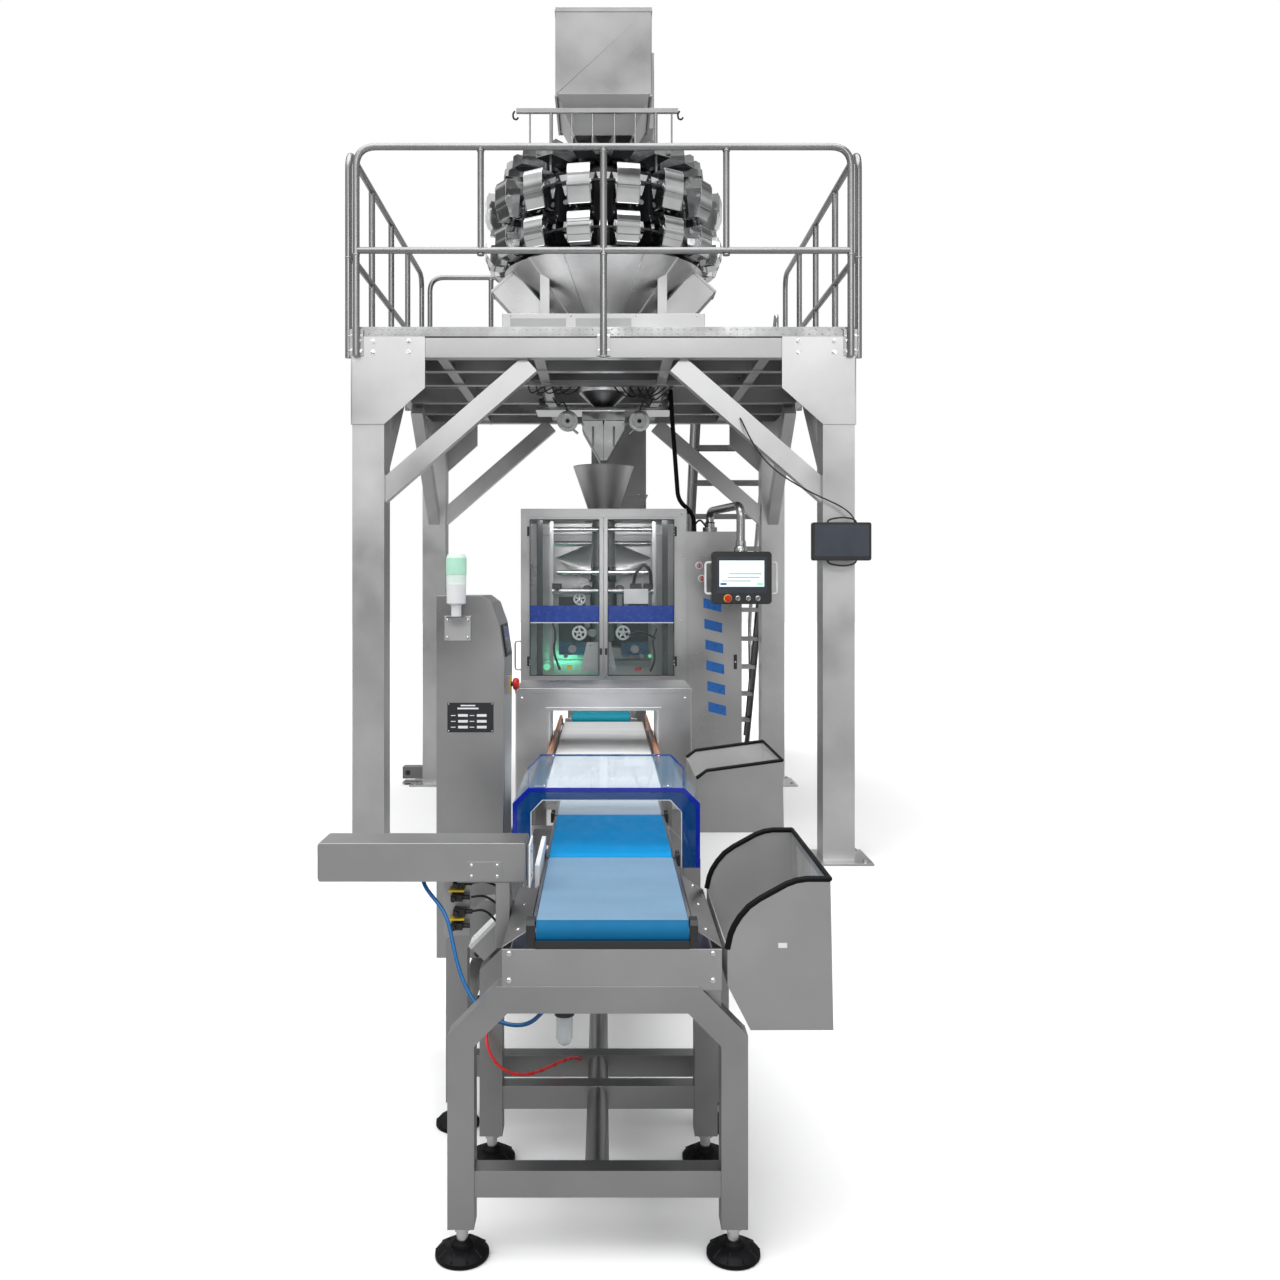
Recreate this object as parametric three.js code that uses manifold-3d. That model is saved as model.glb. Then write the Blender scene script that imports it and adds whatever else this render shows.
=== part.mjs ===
// Bagging line: vertical form fill sealer under a multihead weigher on a work platform, with a
// metal detector, a checkweigher and reject bins in front. Millimetres, +Z up, +X to the right,
// -Y towards the outfeed end. The origin is on the floor under the middle of the line.
import * as THREE from 'three';
import { mergeVertices } from 'three/addons/utils/BufferGeometryUtils.js';
import Module from 'manifold-3d';

const wasm = await Module();
wasm.setup();

// ---- driving dimensions -------------------------------------------------------------------
const GAP = 0.3;                 // clearance between pieces that touch
const COLUMN = 175;              // square platform column
const DECK_HALF = 1377;          // half width over the columns
const DECK_FRONT = -515;
const DECK_REAR = 2145;
const BEAM_BOTTOM = 2765;
const BEAM_TOP = 2875;
const DECK_TOP = 2935;
const RAIL_R = 19;               // guard rail tube radius
const RAIL_TOP = 3911;           // centre of the top rail, 1 m over the deck with the tube
const RAIL_MID = 3345;
const AXIS_Y = 785;              // weigher, timing hopper and forming tube share this axis
const SEALER_HALF = 510;
const SEALER_FRONT = 285;
const SEALER_REAR = 1285;
const SEALER_TOP = 1990;
const BELT_TOP = 762;            // all line belts run at this height
const DRUM_R = 25;
const BELT_SKIN = 3;
const LINE_X = 20;               // centre of the checkweigher belts
const LINE_FRONT = -4299;        // front face of the outfeed legs
const FOOT_R = 60;
const HEADS = 16;                // weigher heads
const HEAD_RING = 700;           // radius of the bucket centres

const group = new THREE.Group();

// ---- shape helpers -------------------------------------------------------------------------
function toSolid(geometry) {
  geometry.deleteAttribute('normal');
  geometry.deleteAttribute('uv');
  const merged = mergeVertices(geometry, 1e-3);
  return new wasm.Manifold(new wasm.Mesh({
    numProp: 3,
    vertProperties: new Float32Array(merged.attributes.position.array),
    triVerts: new Uint32Array(merged.index.array),
  }));
}

function join(...solids) {
  return solids.reduce((whole, next) => whole.add(next));
}

function cut(solid, ...tools) {
  return tools.reduce((whole, tool) => whole.subtract(tool), solid);
}

function box(x0, x1, y0, y1, z0, z1) {
  const geometry = new THREE.BoxGeometry(x1 - x0, y1 - y0, z1 - z0);
  geometry.translate((x0 + x1) / 2, (y0 + y1) / 2, (z0 + z1) / 2);
  return toSolid(geometry);
}

// Cylinder or cone along x, y or z between two places on that axis.
function round(axis, centre, from, to, rFrom, rTo = rFrom, sides = 12) {
  const geometry = new THREE.CylinderGeometry(rTo, rFrom, to - from, sides);
  geometry.translate(0, (from + to) / 2, 0);
  if (axis === 'z') geometry.rotateX(Math.PI / 2);
  if (axis === 'x') geometry.rotateZ(-Math.PI / 2);
  const [a, b] = centre;
  if (axis === 'x') geometry.translate(0, a, b);
  if (axis === 'y') geometry.translate(a, 0, b);
  if (axis === 'z') geometry.translate(a, b, 0);
  return toSolid(geometry);
}

// Outline in the XZ plane, extruded from y0 to y1.
function plateXZ(points, y0, y1) {
  const shape = new THREE.Shape(points.map(([x, z]) => new THREE.Vector2(x, z)));
  const geometry = new THREE.ExtrudeGeometry(shape, { depth: y1 - y0, bevelEnabled: false });
  geometry.rotateX(Math.PI / 2);
  geometry.translate(0, y1, 0);
  return toSolid(geometry);
}

// Outline in the YZ plane, extruded from x0 to x1.
function plateYZ(points, x0, x1) {
  const shape = new THREE.Shape(points.map(([y, z]) => new THREE.Vector2(y, z)));
  const geometry = new THREE.ExtrudeGeometry(shape, { depth: x1 - x0, bevelEnabled: false });
  geometry.rotateX(Math.PI / 2);
  geometry.rotateZ(Math.PI / 2);
  geometry.translate(x0, 0, 0);
  return toSolid(geometry);
}

// Straight bar from p to q: deep along Y (or X for a bar in the YZ plane), across at right angles to it.
function bar(p, q, across, deep, grow = 0) {
  const start = new THREE.Vector3(...p);
  const along = new THREE.Vector3(...q).sub(start);
  const length = along.length();
  along.normalize();
  const side = Math.abs(along.x) > 1e-6 ? new THREE.Vector3(0, 1, 0) : new THREE.Vector3(1, 0, 0);
  const third = new THREE.Vector3().crossVectors(side, along).normalize();
  const geometry = new THREE.BoxGeometry(deep, across, length + 2 * grow);
  const turn = new THREE.Matrix4().makeBasis(side, third, along);
  if (turn.determinant() < 0) turn.makeBasis(side, third.negate(), along);
  geometry.translate(0, 0, length / 2);
  geometry.applyMatrix4(turn);
  geometry.translate(start.x, start.y, start.z);
  return toSolid(geometry);
}

// Polyline walked by index, so that an extrusion steps exactly from corner to corner.
class Route extends THREE.Curve {
  constructor(points) {
    super();
    this.points = points.map((p) => new THREE.Vector3(...p));
  }

  getPoint(t, target = new THREE.Vector3()) {
    const place = t * (this.points.length - 1);
    const index = Math.min(Math.floor(place), this.points.length - 2);
    return target.lerpVectors(this.points[index], this.points[index + 1], place - index);
  }

  getPointAt(u, target) {
    return this.getPoint(u, target);
  }

  getTangentAt(u, target = new THREE.Vector3()) {
    const index = Math.round(u * (this.points.length - 1));
    const before = this.points[Math.max(index - 1, 0)];
    const after = this.points[Math.min(index + 1, this.points.length - 1)];
    return target.subVectors(after, before).normalize();
  }
}

function circle(radius, sides) {
  const points = [];
  for (let i = 0; i < sides; i += 1) {
    const turn = (2 * Math.PI * i) / sides;
    points.push(new THREE.Vector2(radius * Math.cos(turn), radius * Math.sin(turn)));
  }
  return new THREE.Shape(points);
}

function tube(points, radius, sides = 8) {
  const route = new Route(points);
  const options = { steps: points.length - 1, extrudePath: route, bevelEnabled: false };
  return toSolid(new THREE.ExtrudeGeometry(circle(radius, sides), options));
}

// Rounds each inner corner of a route with a short quadratic bend.
function rounded(points, radius, steps = 2) {
  const corners = points.map((p) => new THREE.Vector3(...p));
  const result = [corners[0]];
  for (let i = 1; i < corners.length - 1; i += 1) {
    const back = corners[i - 1].clone().sub(corners[i]).setLength(radius).add(corners[i]);
    const on = corners[i + 1].clone().sub(corners[i]).setLength(radius).add(corners[i]);
    const bend = new THREE.QuadraticBezierCurve3(back, corners[i], on);
    result.push(...bend.getPoints(steps));
  }
  result.push(corners[corners.length - 1]);
  return result.map((p) => [p.x, p.y, p.z]);
}

// Closed lathe profile of [radius, z] about a vertical axis at x, y.
function lathe(profile, x, y, sides = 20) {
  const points = profile.map(([r, z]) => new THREE.Vector2(r, z));
  if (THREE.ShapeUtils.area(points) < 0) points.reverse();
  const geometry = new THREE.LatheGeometry([...points, points[0].clone()], sides);
  geometry.rotateX(Math.PI / 2);
  geometry.translate(x, y, 0);
  return toSolid(geometry);
}

function spin(solid, degrees, x, y) {
  return solid.translate([-x, -y, 0]).rotate([0, 0, degrees]).translate([x, y, 0]);
}

// Levelling foot: coned pad and stud up to the leg.
function foot(x, y, top) {
  return join(
    round('z', [x, y], 0, 26, FOOT_R, 40, 8),
    box(x - 9, x + 9, y - 9, y + 9, 25, top + 1),
  );
}

// Flattened loop of belt round two drums, open at both sides.
function beltLoop(x0, x1, y0, y1, zTop) {
  const outer = DRUM_R + BELT_SKIN;
  const z = zTop - outer;
  const loop = (radius) => {
    const points = [];
    for (let i = 0; i <= 6; i += 1) {
      const turn = Math.PI / 2 + (Math.PI * i) / 6;
      points.push([y0 + outer + radius * Math.cos(turn), z + radius * Math.sin(turn)]);
    }
    for (let i = 0; i <= 6; i += 1) {
      const turn = -Math.PI / 2 + (Math.PI * i) / 6;
      points.push([y1 - outer + radius * Math.cos(turn), z + radius * Math.sin(turn)]);
    }
    return points;
  };
  return cut(plateYZ(loop(outer), x0, x1), plateYZ(loop(DRUM_R + GAP), x0 - 1, x1 + 1));
}

function add(name, solid, color, roughness = 0.35, metalness = 0.9) {
  const mesh = solid.getMesh();
  const geometry = new THREE.BufferGeometry();
  geometry.setAttribute('position', new THREE.BufferAttribute(new Float32Array(mesh.vertProperties), 3));
  geometry.setIndex(new THREE.BufferAttribute(new Uint32Array(mesh.triVerts), 1));
  geometry.computeVertexNormals();
  const material = new THREE.MeshStandardMaterial({ color, roughness, metalness });
  const node = new THREE.Mesh(geometry, material);
  node.name = name;
  group.add(node);
}

const STEEL = 0xb9bab8;
const DARK_STEEL = 0x8c8d8b;
const POLISHED = 0xd0d2d2;
const BLACK = 0x1c1c1e;
const BLUE_BELT = 0x3fa6dc;
const WHITE = 0xe8ecee;

// ---- work platform -------------------------------------------------------------------------
const COLUMN_X = DECK_HALF - COLUMN / 2;
const COLUMN_FRONT_Y = DECK_FRONT + COLUMN / 2;
const COLUMN_REAR_Y = DECK_REAR - COLUMN / 2;
const BASE_PLATE = 350;
const GUSSET = 8;

function column(side, y, front) {
  const x = side * COLUMN_X;
  const half = COLUMN / 2;
  const plateHalf = BASE_PLATE / 2;
  const post = box(x - half, x + half, y - half, y + half, 12, BEAM_BOTTOM - GAP);
  const base = box(x - plateHalf, x + plateHalf, y - plateHalf, y + plateHalf, 0, 12.5);
  const outerX = side * DECK_HALF;
  const outerY = front ? DECK_FRONT : DECK_REAR;
  const inward = front ? 1 : -1;
  const wide = 400;
  const faceGusset = plateXZ(
    side > 0
      ? [[outerX - wide, 2600], [outerX - COLUMN, 2400], [outerX, 2400], [outerX, 2880], [outerX - wide, 2880]]
      : [[outerX, 2400], [outerX + COLUMN, 2400], [outerX + wide, 2600], [outerX + wide, 2880], [outerX, 2880]],
    front ? outerY - GUSSET : outerY,
    front ? outerY : outerY + GUSSET,
  );
  const farY = outerY + inward * wide;
  const nearY = outerY + inward * COLUMN;
  const ends = [[outerY, 2400], [nearY, 2400], [farY, 2600], [farY, 2880], [outerY, 2880]];
  const sideGusset = plateYZ(
    front ? ends : ends.slice().reverse(),
    side > 0 ? outerX : outerX - GUSSET,
    side > 0 ? outerX + GUSSET : outerX,
  );
  const braceFoot = 2080;
  const faceBrace = bar([x, y, braceFoot - 105], [side * 450, y, BEAM_BOTTOM - 60], 110, 80, 60);
  const reach = inward * 840;
  const sideBrace = bar([x, y, braceFoot - 105], [x, y + reach, BEAM_BOTTOM - 60], 110, 80, 60);
  const above = box(-2000, 2000, -2000, 4000, BEAM_BOTTOM - GAP, BEAM_BOTTOM + 500);
  const braces = cut(join(faceBrace, sideBrace), above);
  const skirt = join(
    box(outerX - 30, outerX + 30, outerY - 30, outerY + 30, BEAM_BOTTOM - GAP, 2881),
  );
  const beamSpace = box(-DECK_HALF, DECK_HALF, DECK_FRONT, DECK_REAR, BEAM_BOTTOM - GAP, 2900);
  const corner = cut(skirt, beamSpace, box(
    side > 0 ? outerX + GUSSET : outerX - 200,
    side > 0 ? outerX + 200 : outerX - GUSSET,
    -3000, 3000, 2000, 3000,
  ), box(
    -2000, 2000,
    front ? outerY - 200 : outerY + GUSSET,
    front ? outerY - GUSSET : outerY + 200,
    2000, 3000,
  ));
  return join(base, post, braces, faceGusset, sideGusset, corner);
}

for (const [name, side, y, front] of [
  ['column_front_left', -1, COLUMN_FRONT_Y, true],
  ['column_front_right', 1, COLUMN_FRONT_Y, true],
  ['column_rear_left', -1, COLUMN_REAR_Y, false],
  ['column_rear_right', 1, COLUMN_REAR_Y, false],
]) {
  add(name, column(side, y, front), STEEL);
}

const DECK_HOLE = 330;           // half width of the square hole under the weigher

function deckFrame() {
  const wide = 70;
  const side = DECK_HALF - GAP;
  const front = DECK_FRONT + GAP;
  const rear = DECK_REAR - GAP;
  let frame = cut(
    box(-side, side, front, rear, BEAM_BOTTOM, BEAM_TOP),
    box(-side + wide, side - wide, front + wide, rear - wide, BEAM_BOTTOM - 10, BEAM_TOP + 10),
  );
  for (const y of [-80, AXIS_Y - DECK_HOLE - 60, AXIS_Y + DECK_HOLE, 1620]) {
    frame = join(frame, box(-side + 10, side - 10, y, y + 60, BEAM_BOTTOM + 5, BEAM_TOP - 5));
  }
  for (const x of [-930, -DECK_HOLE - 60, DECK_HOLE, 870]) {
    frame = join(frame, box(x, x + 60, front + 10, rear - 10, BEAM_BOTTOM + 15, BEAM_TOP - 2));
  }
  return frame;
}
add('deck_frame', deckFrame(), STEEL);

add('deck_plate', cut(
  box(-DECK_HALF, DECK_HALF, DECK_FRONT, DECK_REAR, BEAM_TOP + GAP + 6, DECK_TOP),
  box(-DECK_HOLE, DECK_HOLE, AXIS_Y - DECK_HOLE, AXIS_Y + DECK_HOLE, 2800, 3000),
), 0xaaaaa8, 0.5);

// ---- guard rails ---------------------------------------------------------------------------
const RAIL_OUT = GUSSET + GAP + RAIL_R;
const RAIL_FRONT_Y = DECK_FRONT - RAIL_OUT;
const RAIL_REAR_Y = DECK_REAR + RAIL_OUT;
const RAIL_SIDE_X = DECK_HALF + RAIL_OUT;
const POST_FOOT = 2770;
const POST_X = 1350;

function railBetween(p, q) {
  return tube([p, q], RAIL_R);
}

function railHoop(at, from, to, posts) {
  const path = rounded([at(from, POST_FOOT), at(from, RAIL_TOP), at(to, RAIL_TOP), at(to, POST_FOOT)], 100);
  let panel = join(tube(path, RAIL_R), railBetween(at(from, RAIL_MID), at(to, RAIL_MID)));
  for (const [place, bottom] of posts) {
    panel = join(panel, railBetween(at(place, bottom), at(place, RAIL_TOP)));
  }
  return panel;
}

const alongX = (y) => (x, z) => [x, y, z];
const alongY = (x) => (y, z) => [x, y, z];
const SIDE_FROM = -480;
const SIDE_TO = 2110;
const bay = (SIDE_TO - SIDE_FROM) / 4;
const sidePosts = [1, 2, 3].map((i) => [SIDE_FROM + i * bay, POST_FOOT]);

add('guard_rail_front', railHoop(alongX(RAIL_FRONT_Y), -POST_X, POST_X, [
  [0, POST_FOOT], [-670, RAIL_MID], [670, RAIL_MID],
]), STEEL);
add('guard_rail_left', railHoop(alongY(-RAIL_SIDE_X), SIDE_FROM, SIDE_TO, sidePosts), STEEL);
add('guard_rail_right', railHoop(alongY(RAIL_SIDE_X), SIDE_FROM, SIDE_TO, sidePosts), STEEL);
add('guard_rail_rear', railHoop(alongX(RAIL_REAR_Y), -POST_X, 560, [
  [-875, POST_FOOT], [-160, POST_FOOT],
]), STEEL);

// ---- ladder --------------------------------------------------------------------------------
const LADDER_LEFT = 720;
const LADDER_RIGHT = 1380;
const LADDER_TOP_Y = DECK_REAR + 60;
const LADDER_FOOT_Y = 4255.5;
const TREADS = 10;

function ladder() {
  const slope = (DECK_TOP - 60) / (LADDER_FOOT_Y - LADDER_TOP_Y);
  const heightAt = (y) => (LADDER_FOOT_Y - y) * slope;
  let whole = null;
  for (const x of [LADDER_LEFT + 20, LADDER_RIGHT - 20]) {
    const stringer = bar([x, LADDER_FOOT_Y, 0], [x, LADDER_TOP_Y, DECK_TOP - 60], 120, 40, 90);
    const kept = stringer.intersect(box(-2000, 2000, LADDER_TOP_Y - 50, 4329, 0, DECK_TOP));
    const rail = tube(rounded([
      [x, LADDER_FOOT_Y - 380, heightAt(LADDER_FOOT_Y - 380)],
      [x, LADDER_FOOT_Y - 280, 1180],
      [x, LADDER_TOP_Y + 60, 3760],
      [x, LADDER_TOP_Y + 60, heightAt(LADDER_TOP_Y + 60)],
    ], 120, 1), 17, 6);
    const midY = (LADDER_TOP_Y + LADDER_FOOT_Y) / 2 - 60;
    const stay = tube([[x, midY, heightAt(midY)], [x, midY, heightAt(midY) + 700]], 15, 6);
    whole = whole ? join(whole, kept, rail, stay) : join(kept, rail, stay);
  }
  for (let i = 1; i <= TREADS; i += 1) {
    const z = (i * (DECK_TOP - 60)) / (TREADS + 1);
    const y = LADDER_FOOT_Y - z / slope;
    whole = join(whole, box(LADDER_LEFT + 21, LADDER_RIGHT - 21, y - 70, y + 70, z - 15, z + 15));
  }
  const lip = box(LADDER_LEFT + 1, LADDER_RIGHT - 1, DECK_REAR + GAP, LADDER_TOP_Y + 30, 2885, DECK_TOP);
  return join(whole, lip);
}
add('ladder', ladder(), STEEL);

// ---- bucket elevator -----------------------------------------------------------------------
const HEAD_BOTTOM = 4670;
const HEAD_TOP = 5240;
const LEG_LEFT = -100;
const LEG_RIGHT = 350;
const LEG_FRONT = 2685;
const LEG_REAR = 3135;

// Square funnel between two half widths, open at both ends.
function squareFunnel(x, y, top, bottom, halfTop, halfBottom, wall) {
  const block = (inset, z0, z1) => {
    const reach = Math.SQRT2;
    const upper = (halfTop - inset) * reach;
    const lower = (halfBottom - inset) * reach;
    const geometry = new THREE.CylinderGeometry(upper, lower, z1 - z0, 4);
    geometry.rotateY(Math.PI / 4);
    geometry.rotateX(Math.PI / 2);
    geometry.translate(x, y, (z0 + z1) / 2);
    return toSolid(geometry);
  };
  return cut(block(0, bottom, top), block(wall, bottom - 1, top + 1));
}
function elevatorCasing() {
  const head = box(-310, 310, 600, 1250, HEAD_BOTTOM, HEAD_TOP);
  const run = box(LEG_LEFT, LEG_RIGHT, 1200, LEG_REAR, HEAD_BOTTOM + 20, HEAD_TOP - 20);
  const leg = box(LEG_LEFT, LEG_RIGHT, LEG_FRONT, LEG_REAR, 160, HEAD_TOP - 40);
  const boot = box(LEG_LEFT, LEG_RIGHT, LEG_FRONT, 4200, 160, 640);
  const mouth = box(-230, 230, 660, 1110, HEAD_BOTTOM - 1, HEAD_BOTTOM + 330);
  const hopperY = 3860;
  const hopperX = (LEG_LEFT + LEG_RIGHT) / 2;
  const funnel = squareFunnel(hopperX, hopperY, 1180, 630, 280, 130, 8);
  const chute = squareFunnel(0, AXIS_Y + 100, HEAD_BOTTOM + 5, 4450, 300, 190, 6);
  let casing = join(cut(join(head, run, leg, boot), mouth), funnel, chute);
  for (const x of [LEG_LEFT + 40, LEG_RIGHT - 40]) {
    for (const y of [2760, 4120]) {
      casing = join(casing, box(x - 25, x + 25, y - 25, y + 25, 0, 165));
      casing = join(casing, box(x - 60, x + 60, y - 60, y + 60, 0, 12));
    }
  }
  return casing;
}
add('elevator_casing', elevatorCasing(), STEEL);

// ---- multihead weigher ---------------------------------------------------------------------
const WEIGHER_BASE_TOP = 3180;
const HEAD_STEP = 360 / HEADS;

function weigherBase() {
  const body = box(-620, 620, AXIS_Y - 560, AXIS_Y + 560, DECK_TOP + GAP, WEIGHER_BASE_TOP);
  const well = round('z', [0, AXIS_Y], 2900, 3200, 300, 300, 24);
  const stopBox = box(480, 560, AXIS_Y - 578, AXIS_Y - 559, 2985, 3065);
  const stopCap = round('y', [520, 3025], AXIS_Y - 600, AXIS_Y - 577, 24, 24, 12);
  return join(cut(body, well), stopBox, stopCap);
}
add('weigher_base', weigherBase(), STEEL);

const LEG_RING = 520;
const weigherLegs = [45, 135, 225, 315].map((turn) => {
  const angle = (turn * Math.PI) / 180;
  return [LEG_RING * Math.cos(angle), AXIS_Y + LEG_RING * Math.sin(angle)];
});

function weigherBody() {
  let body = round('z', [0, AXIS_Y], 3600, 4140, 430, 430, HEADS);
  body = join(body, round('z', [0, AXIS_Y], 3560, 3601, 560, 560, HEADS));
  for (const [x, y] of weigherLegs) {
    body = join(body, box(x - 30, x + 30, y - 30, y + 30, WEIGHER_BASE_TOP + GAP, 3570));
  }
  for (let i = 0; i < HEADS; i += 1) {
    const drive = box(400, 590, AXIS_Y - 62, AXIS_Y + 62, 3760, 4040);
    body = join(body, spin(drive, (i + 0.5) * HEAD_STEP - 90, 0, AXIS_Y));
  }
  const barY = AXIS_Y - 330;
  for (const side of [-1, 1]) {
    const x = side * 330;
    const inner = side * 250;
    body = join(body, box(x - 12, x + 12, barY - 12, barY + 12, 4040, 4500));
    body = join(body, box(Math.min(x, inner), Math.max(x, inner), barY - 12, barY + 12, 4039, 4063));
  }
  for (const x of [-464, 430]) {
    body = join(body, box(x - 6, x + 6, barY - 6, barY + 6, 4290, 4500));
  }
  return join(body, box(-550, 470, barY - 14, barY + 14, 4496, 4524));
}
add('weigher_body', weigherBody(), 0x3a3b3d, 0.5, 0.5);

function feederPans() {
  let pans = lathe([[0, 4141], [330, 4141], [330, 4262], [60, 4400], [0, 4410]], 0, AXIS_Y, HEADS);
  for (let i = 0; i < HEADS; i += 1) {
    const pan = cut(
      box(300, 655, AXIS_Y - 62, AXIS_Y + 62, 4150, 4250),
      box(331, 700, AXIS_Y - 58, AXIS_Y + 58, 4156, 4300),
    );
    pans = join(pans, spin(pan, (i + 0.5) * HEAD_STEP - 90, 0, AXIS_Y));
  }
  return pans;
}
add('feeder_pans', feederPans(), POLISHED, 0.25);

// Ring of buckets, each open at the top and tapering inwards, on a rim with a flat per bucket.
function bucketRing(zTop, zBottom, half, depthTop, depthBottom) {
  const r = HEAD_RING - depthTop / 2;
  const toCorner = 1 / Math.cos(Math.PI / HEADS);
  const rim = [zTop - 60, zTop - 46];
  let ring = cut(
    round('z', [0, AXIS_Y], ...rim, (r + 6) * toCorner, (r + 6) * toCorner, HEADS),
    round('z', [0, AXIS_Y], rim[0] - 1, rim[1] + 1, (r - 20) * toCorner, (r - 20) * toCorner, HEADS),
  );
  const lean = 20;
  const outline = (inset, z0, z1) => [
    [r + inset, z1], [r + depthTop - inset, z1], [r + depthBottom - inset, z0], [r + lean + inset, z0],
  ];
  for (let i = 0; i < HEADS; i += 1) {
    const shell = cut(
      plateXZ(outline(0, zBottom, zTop), AXIS_Y - half, AXIS_Y + half),
      plateXZ(outline(6, zBottom + 8, zTop + 1), AXIS_Y - half + 5, AXIS_Y + half - 5),
    );
    ring = join(ring, spin(shell, (i + 0.5) * HEAD_STEP - 90, 0, AXIS_Y));
  }
  return ring;
}
add('feed_hoppers', bucketRing(4030, 3790, 72, 150, 120), POLISHED, 0.2);
add('weigh_hoppers', bucketRing(3745, 3560, 72, 150, 110), POLISHED, 0.2);

// Cone shell under the buckets with the discharge funnel below it and two side chutes.
function collectingChute() {
  const cone = lathe([
    [640, 3548], [650, 3548], [264, 3200], [252, 3100], [162, 2780], [62, 2690],
    [54, 2690], [154, 2780], [244, 3100], [256, 3200],
  ], 0, AXIS_Y, HEADS);
  let chute = cone;
  for (const side of [-1, 1]) {
    const sleeve = cut(box(-95, 95, -95, 95, 0, 330), box(-89, 89, -89, 89, -1, 331));
    chute = join(chute, sleeve.rotate([0, side * 42, 0]).translate([side * 430, AXIS_Y - 120, 3225]));
  }
  const throat = lathe([[0, 3545], [636, 3545], [254, 3202], [0, 3202]], 0, AXIS_Y, HEADS);
  const legSpace = weigherLegs.map(([x, y]) => box(x - 32, x + 32, y - 32, y + 32, 3100, 3600));
  const baseSpace = box(-620, 620, AXIS_Y - 560, AXIS_Y + 560, 3000, WEIGHER_BASE_TOP + GAP);
  const plug = round('z', [0, AXIS_Y], 2600, WEIGHER_BASE_TOP + 1, 290, 290, 24);
  return cut(chute, throat, ...legSpace, baseSpace.subtract(plug));
}
add('collecting_chute', collectingChute(), POLISHED, 0.22);

// ---- timing hopper -------------------------------------------------------------------------
const FLAP_X = 130;
const FLAP_Z = 2560;

function timingHopper() {
  const plate = box(-440, 440, AXIS_Y - 150, AXIS_Y + 150, 2650, 2670);
  const throat = round('z', [0, AXIS_Y], 2500, 2700, 100, 100, 16);
  let hopper = join(plate, box(-140, 140, AXIS_Y - 118, AXIS_Y + 118, 2590, 2651));
  for (const x of [-425, 425]) {
    const reach = Math.sign(x) * 40;
    hopper = join(hopper, bar([x - reach, AXIS_Y - 120, 2660], [x, AXIS_Y - 120, 2790], 40, 40));
    hopper = join(hopper, bar([x - reach, AXIS_Y + 120, 2660], [x, AXIS_Y + 120, 2790], 40, 40));
  }
  const above = box(-600, 600, 0, 2000, BEAM_BOTTOM - GAP, 3000);
  for (const x of [-230, 230]) {
    hopper = join(hopper, box(x - 12, x + 12, AXIS_Y - 175, AXIS_Y - 149, 2560, 2670));
    hopper = join(hopper, round('y', [x, 2570], AXIS_Y - 215, AXIS_Y - 165, 63, 63, 16));
  }
  return cut(hopper, throat, above);
}
add('timing_hopper', timingHopper(), POLISHED, 0.25);

// One clam-shell flap: two cheeks and a sloping wall, hinged at its outer top corner.
function timingFlap(side) {
  const outline = (inset) => [
    [side * (FLAP_X + 8 - inset), 2588 - GAP], [side * (5 + inset), 2588 - GAP],
    [side * (0.5 + inset), FLAP_Z - 6], [side * (0.5 + inset), 2325],
    [side * (22 - inset / 2), 2325], [side * (FLAP_X + 8 - inset), 2530],
  ];
  const block = plateXZ(outline(0), AXIS_Y - 110, AXIS_Y + 110);
  const inner = plateXZ([
    [side * (FLAP_X - 2), 2600], [side * -1, 2600], [side * -1, 2320],
    [side * 10, 2320], [side * (FLAP_X - 2), 2532],
  ], AXIS_Y - 104, AXIS_Y + 104);
  const pivot = round('y', [side * (FLAP_X + 4), FLAP_Z], AXIS_Y - 130, AXIS_Y + 130, 9, 9, 10);
  return join(cut(block, inner), pivot.subtract(inner));
}
add('timing_flap_left', timingFlap(-1), POLISHED, 0.2);
add('timing_flap_right', timingFlap(1), POLISHED, 0.2);

// ---- vertical form fill sealer -------------------------------------------------------------
const POST_LEFT = -466;          // inner faces of the front posts
const POST_RIGHT = 447;
const DOOR_BOTTOM = 950;
const HEADER = 1935;
const TUBE_R = 75;
const FUNNEL_RIM_Z = 2300;
const ROLL_Y = 1500;
const ROLL_Z = 760;

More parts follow.
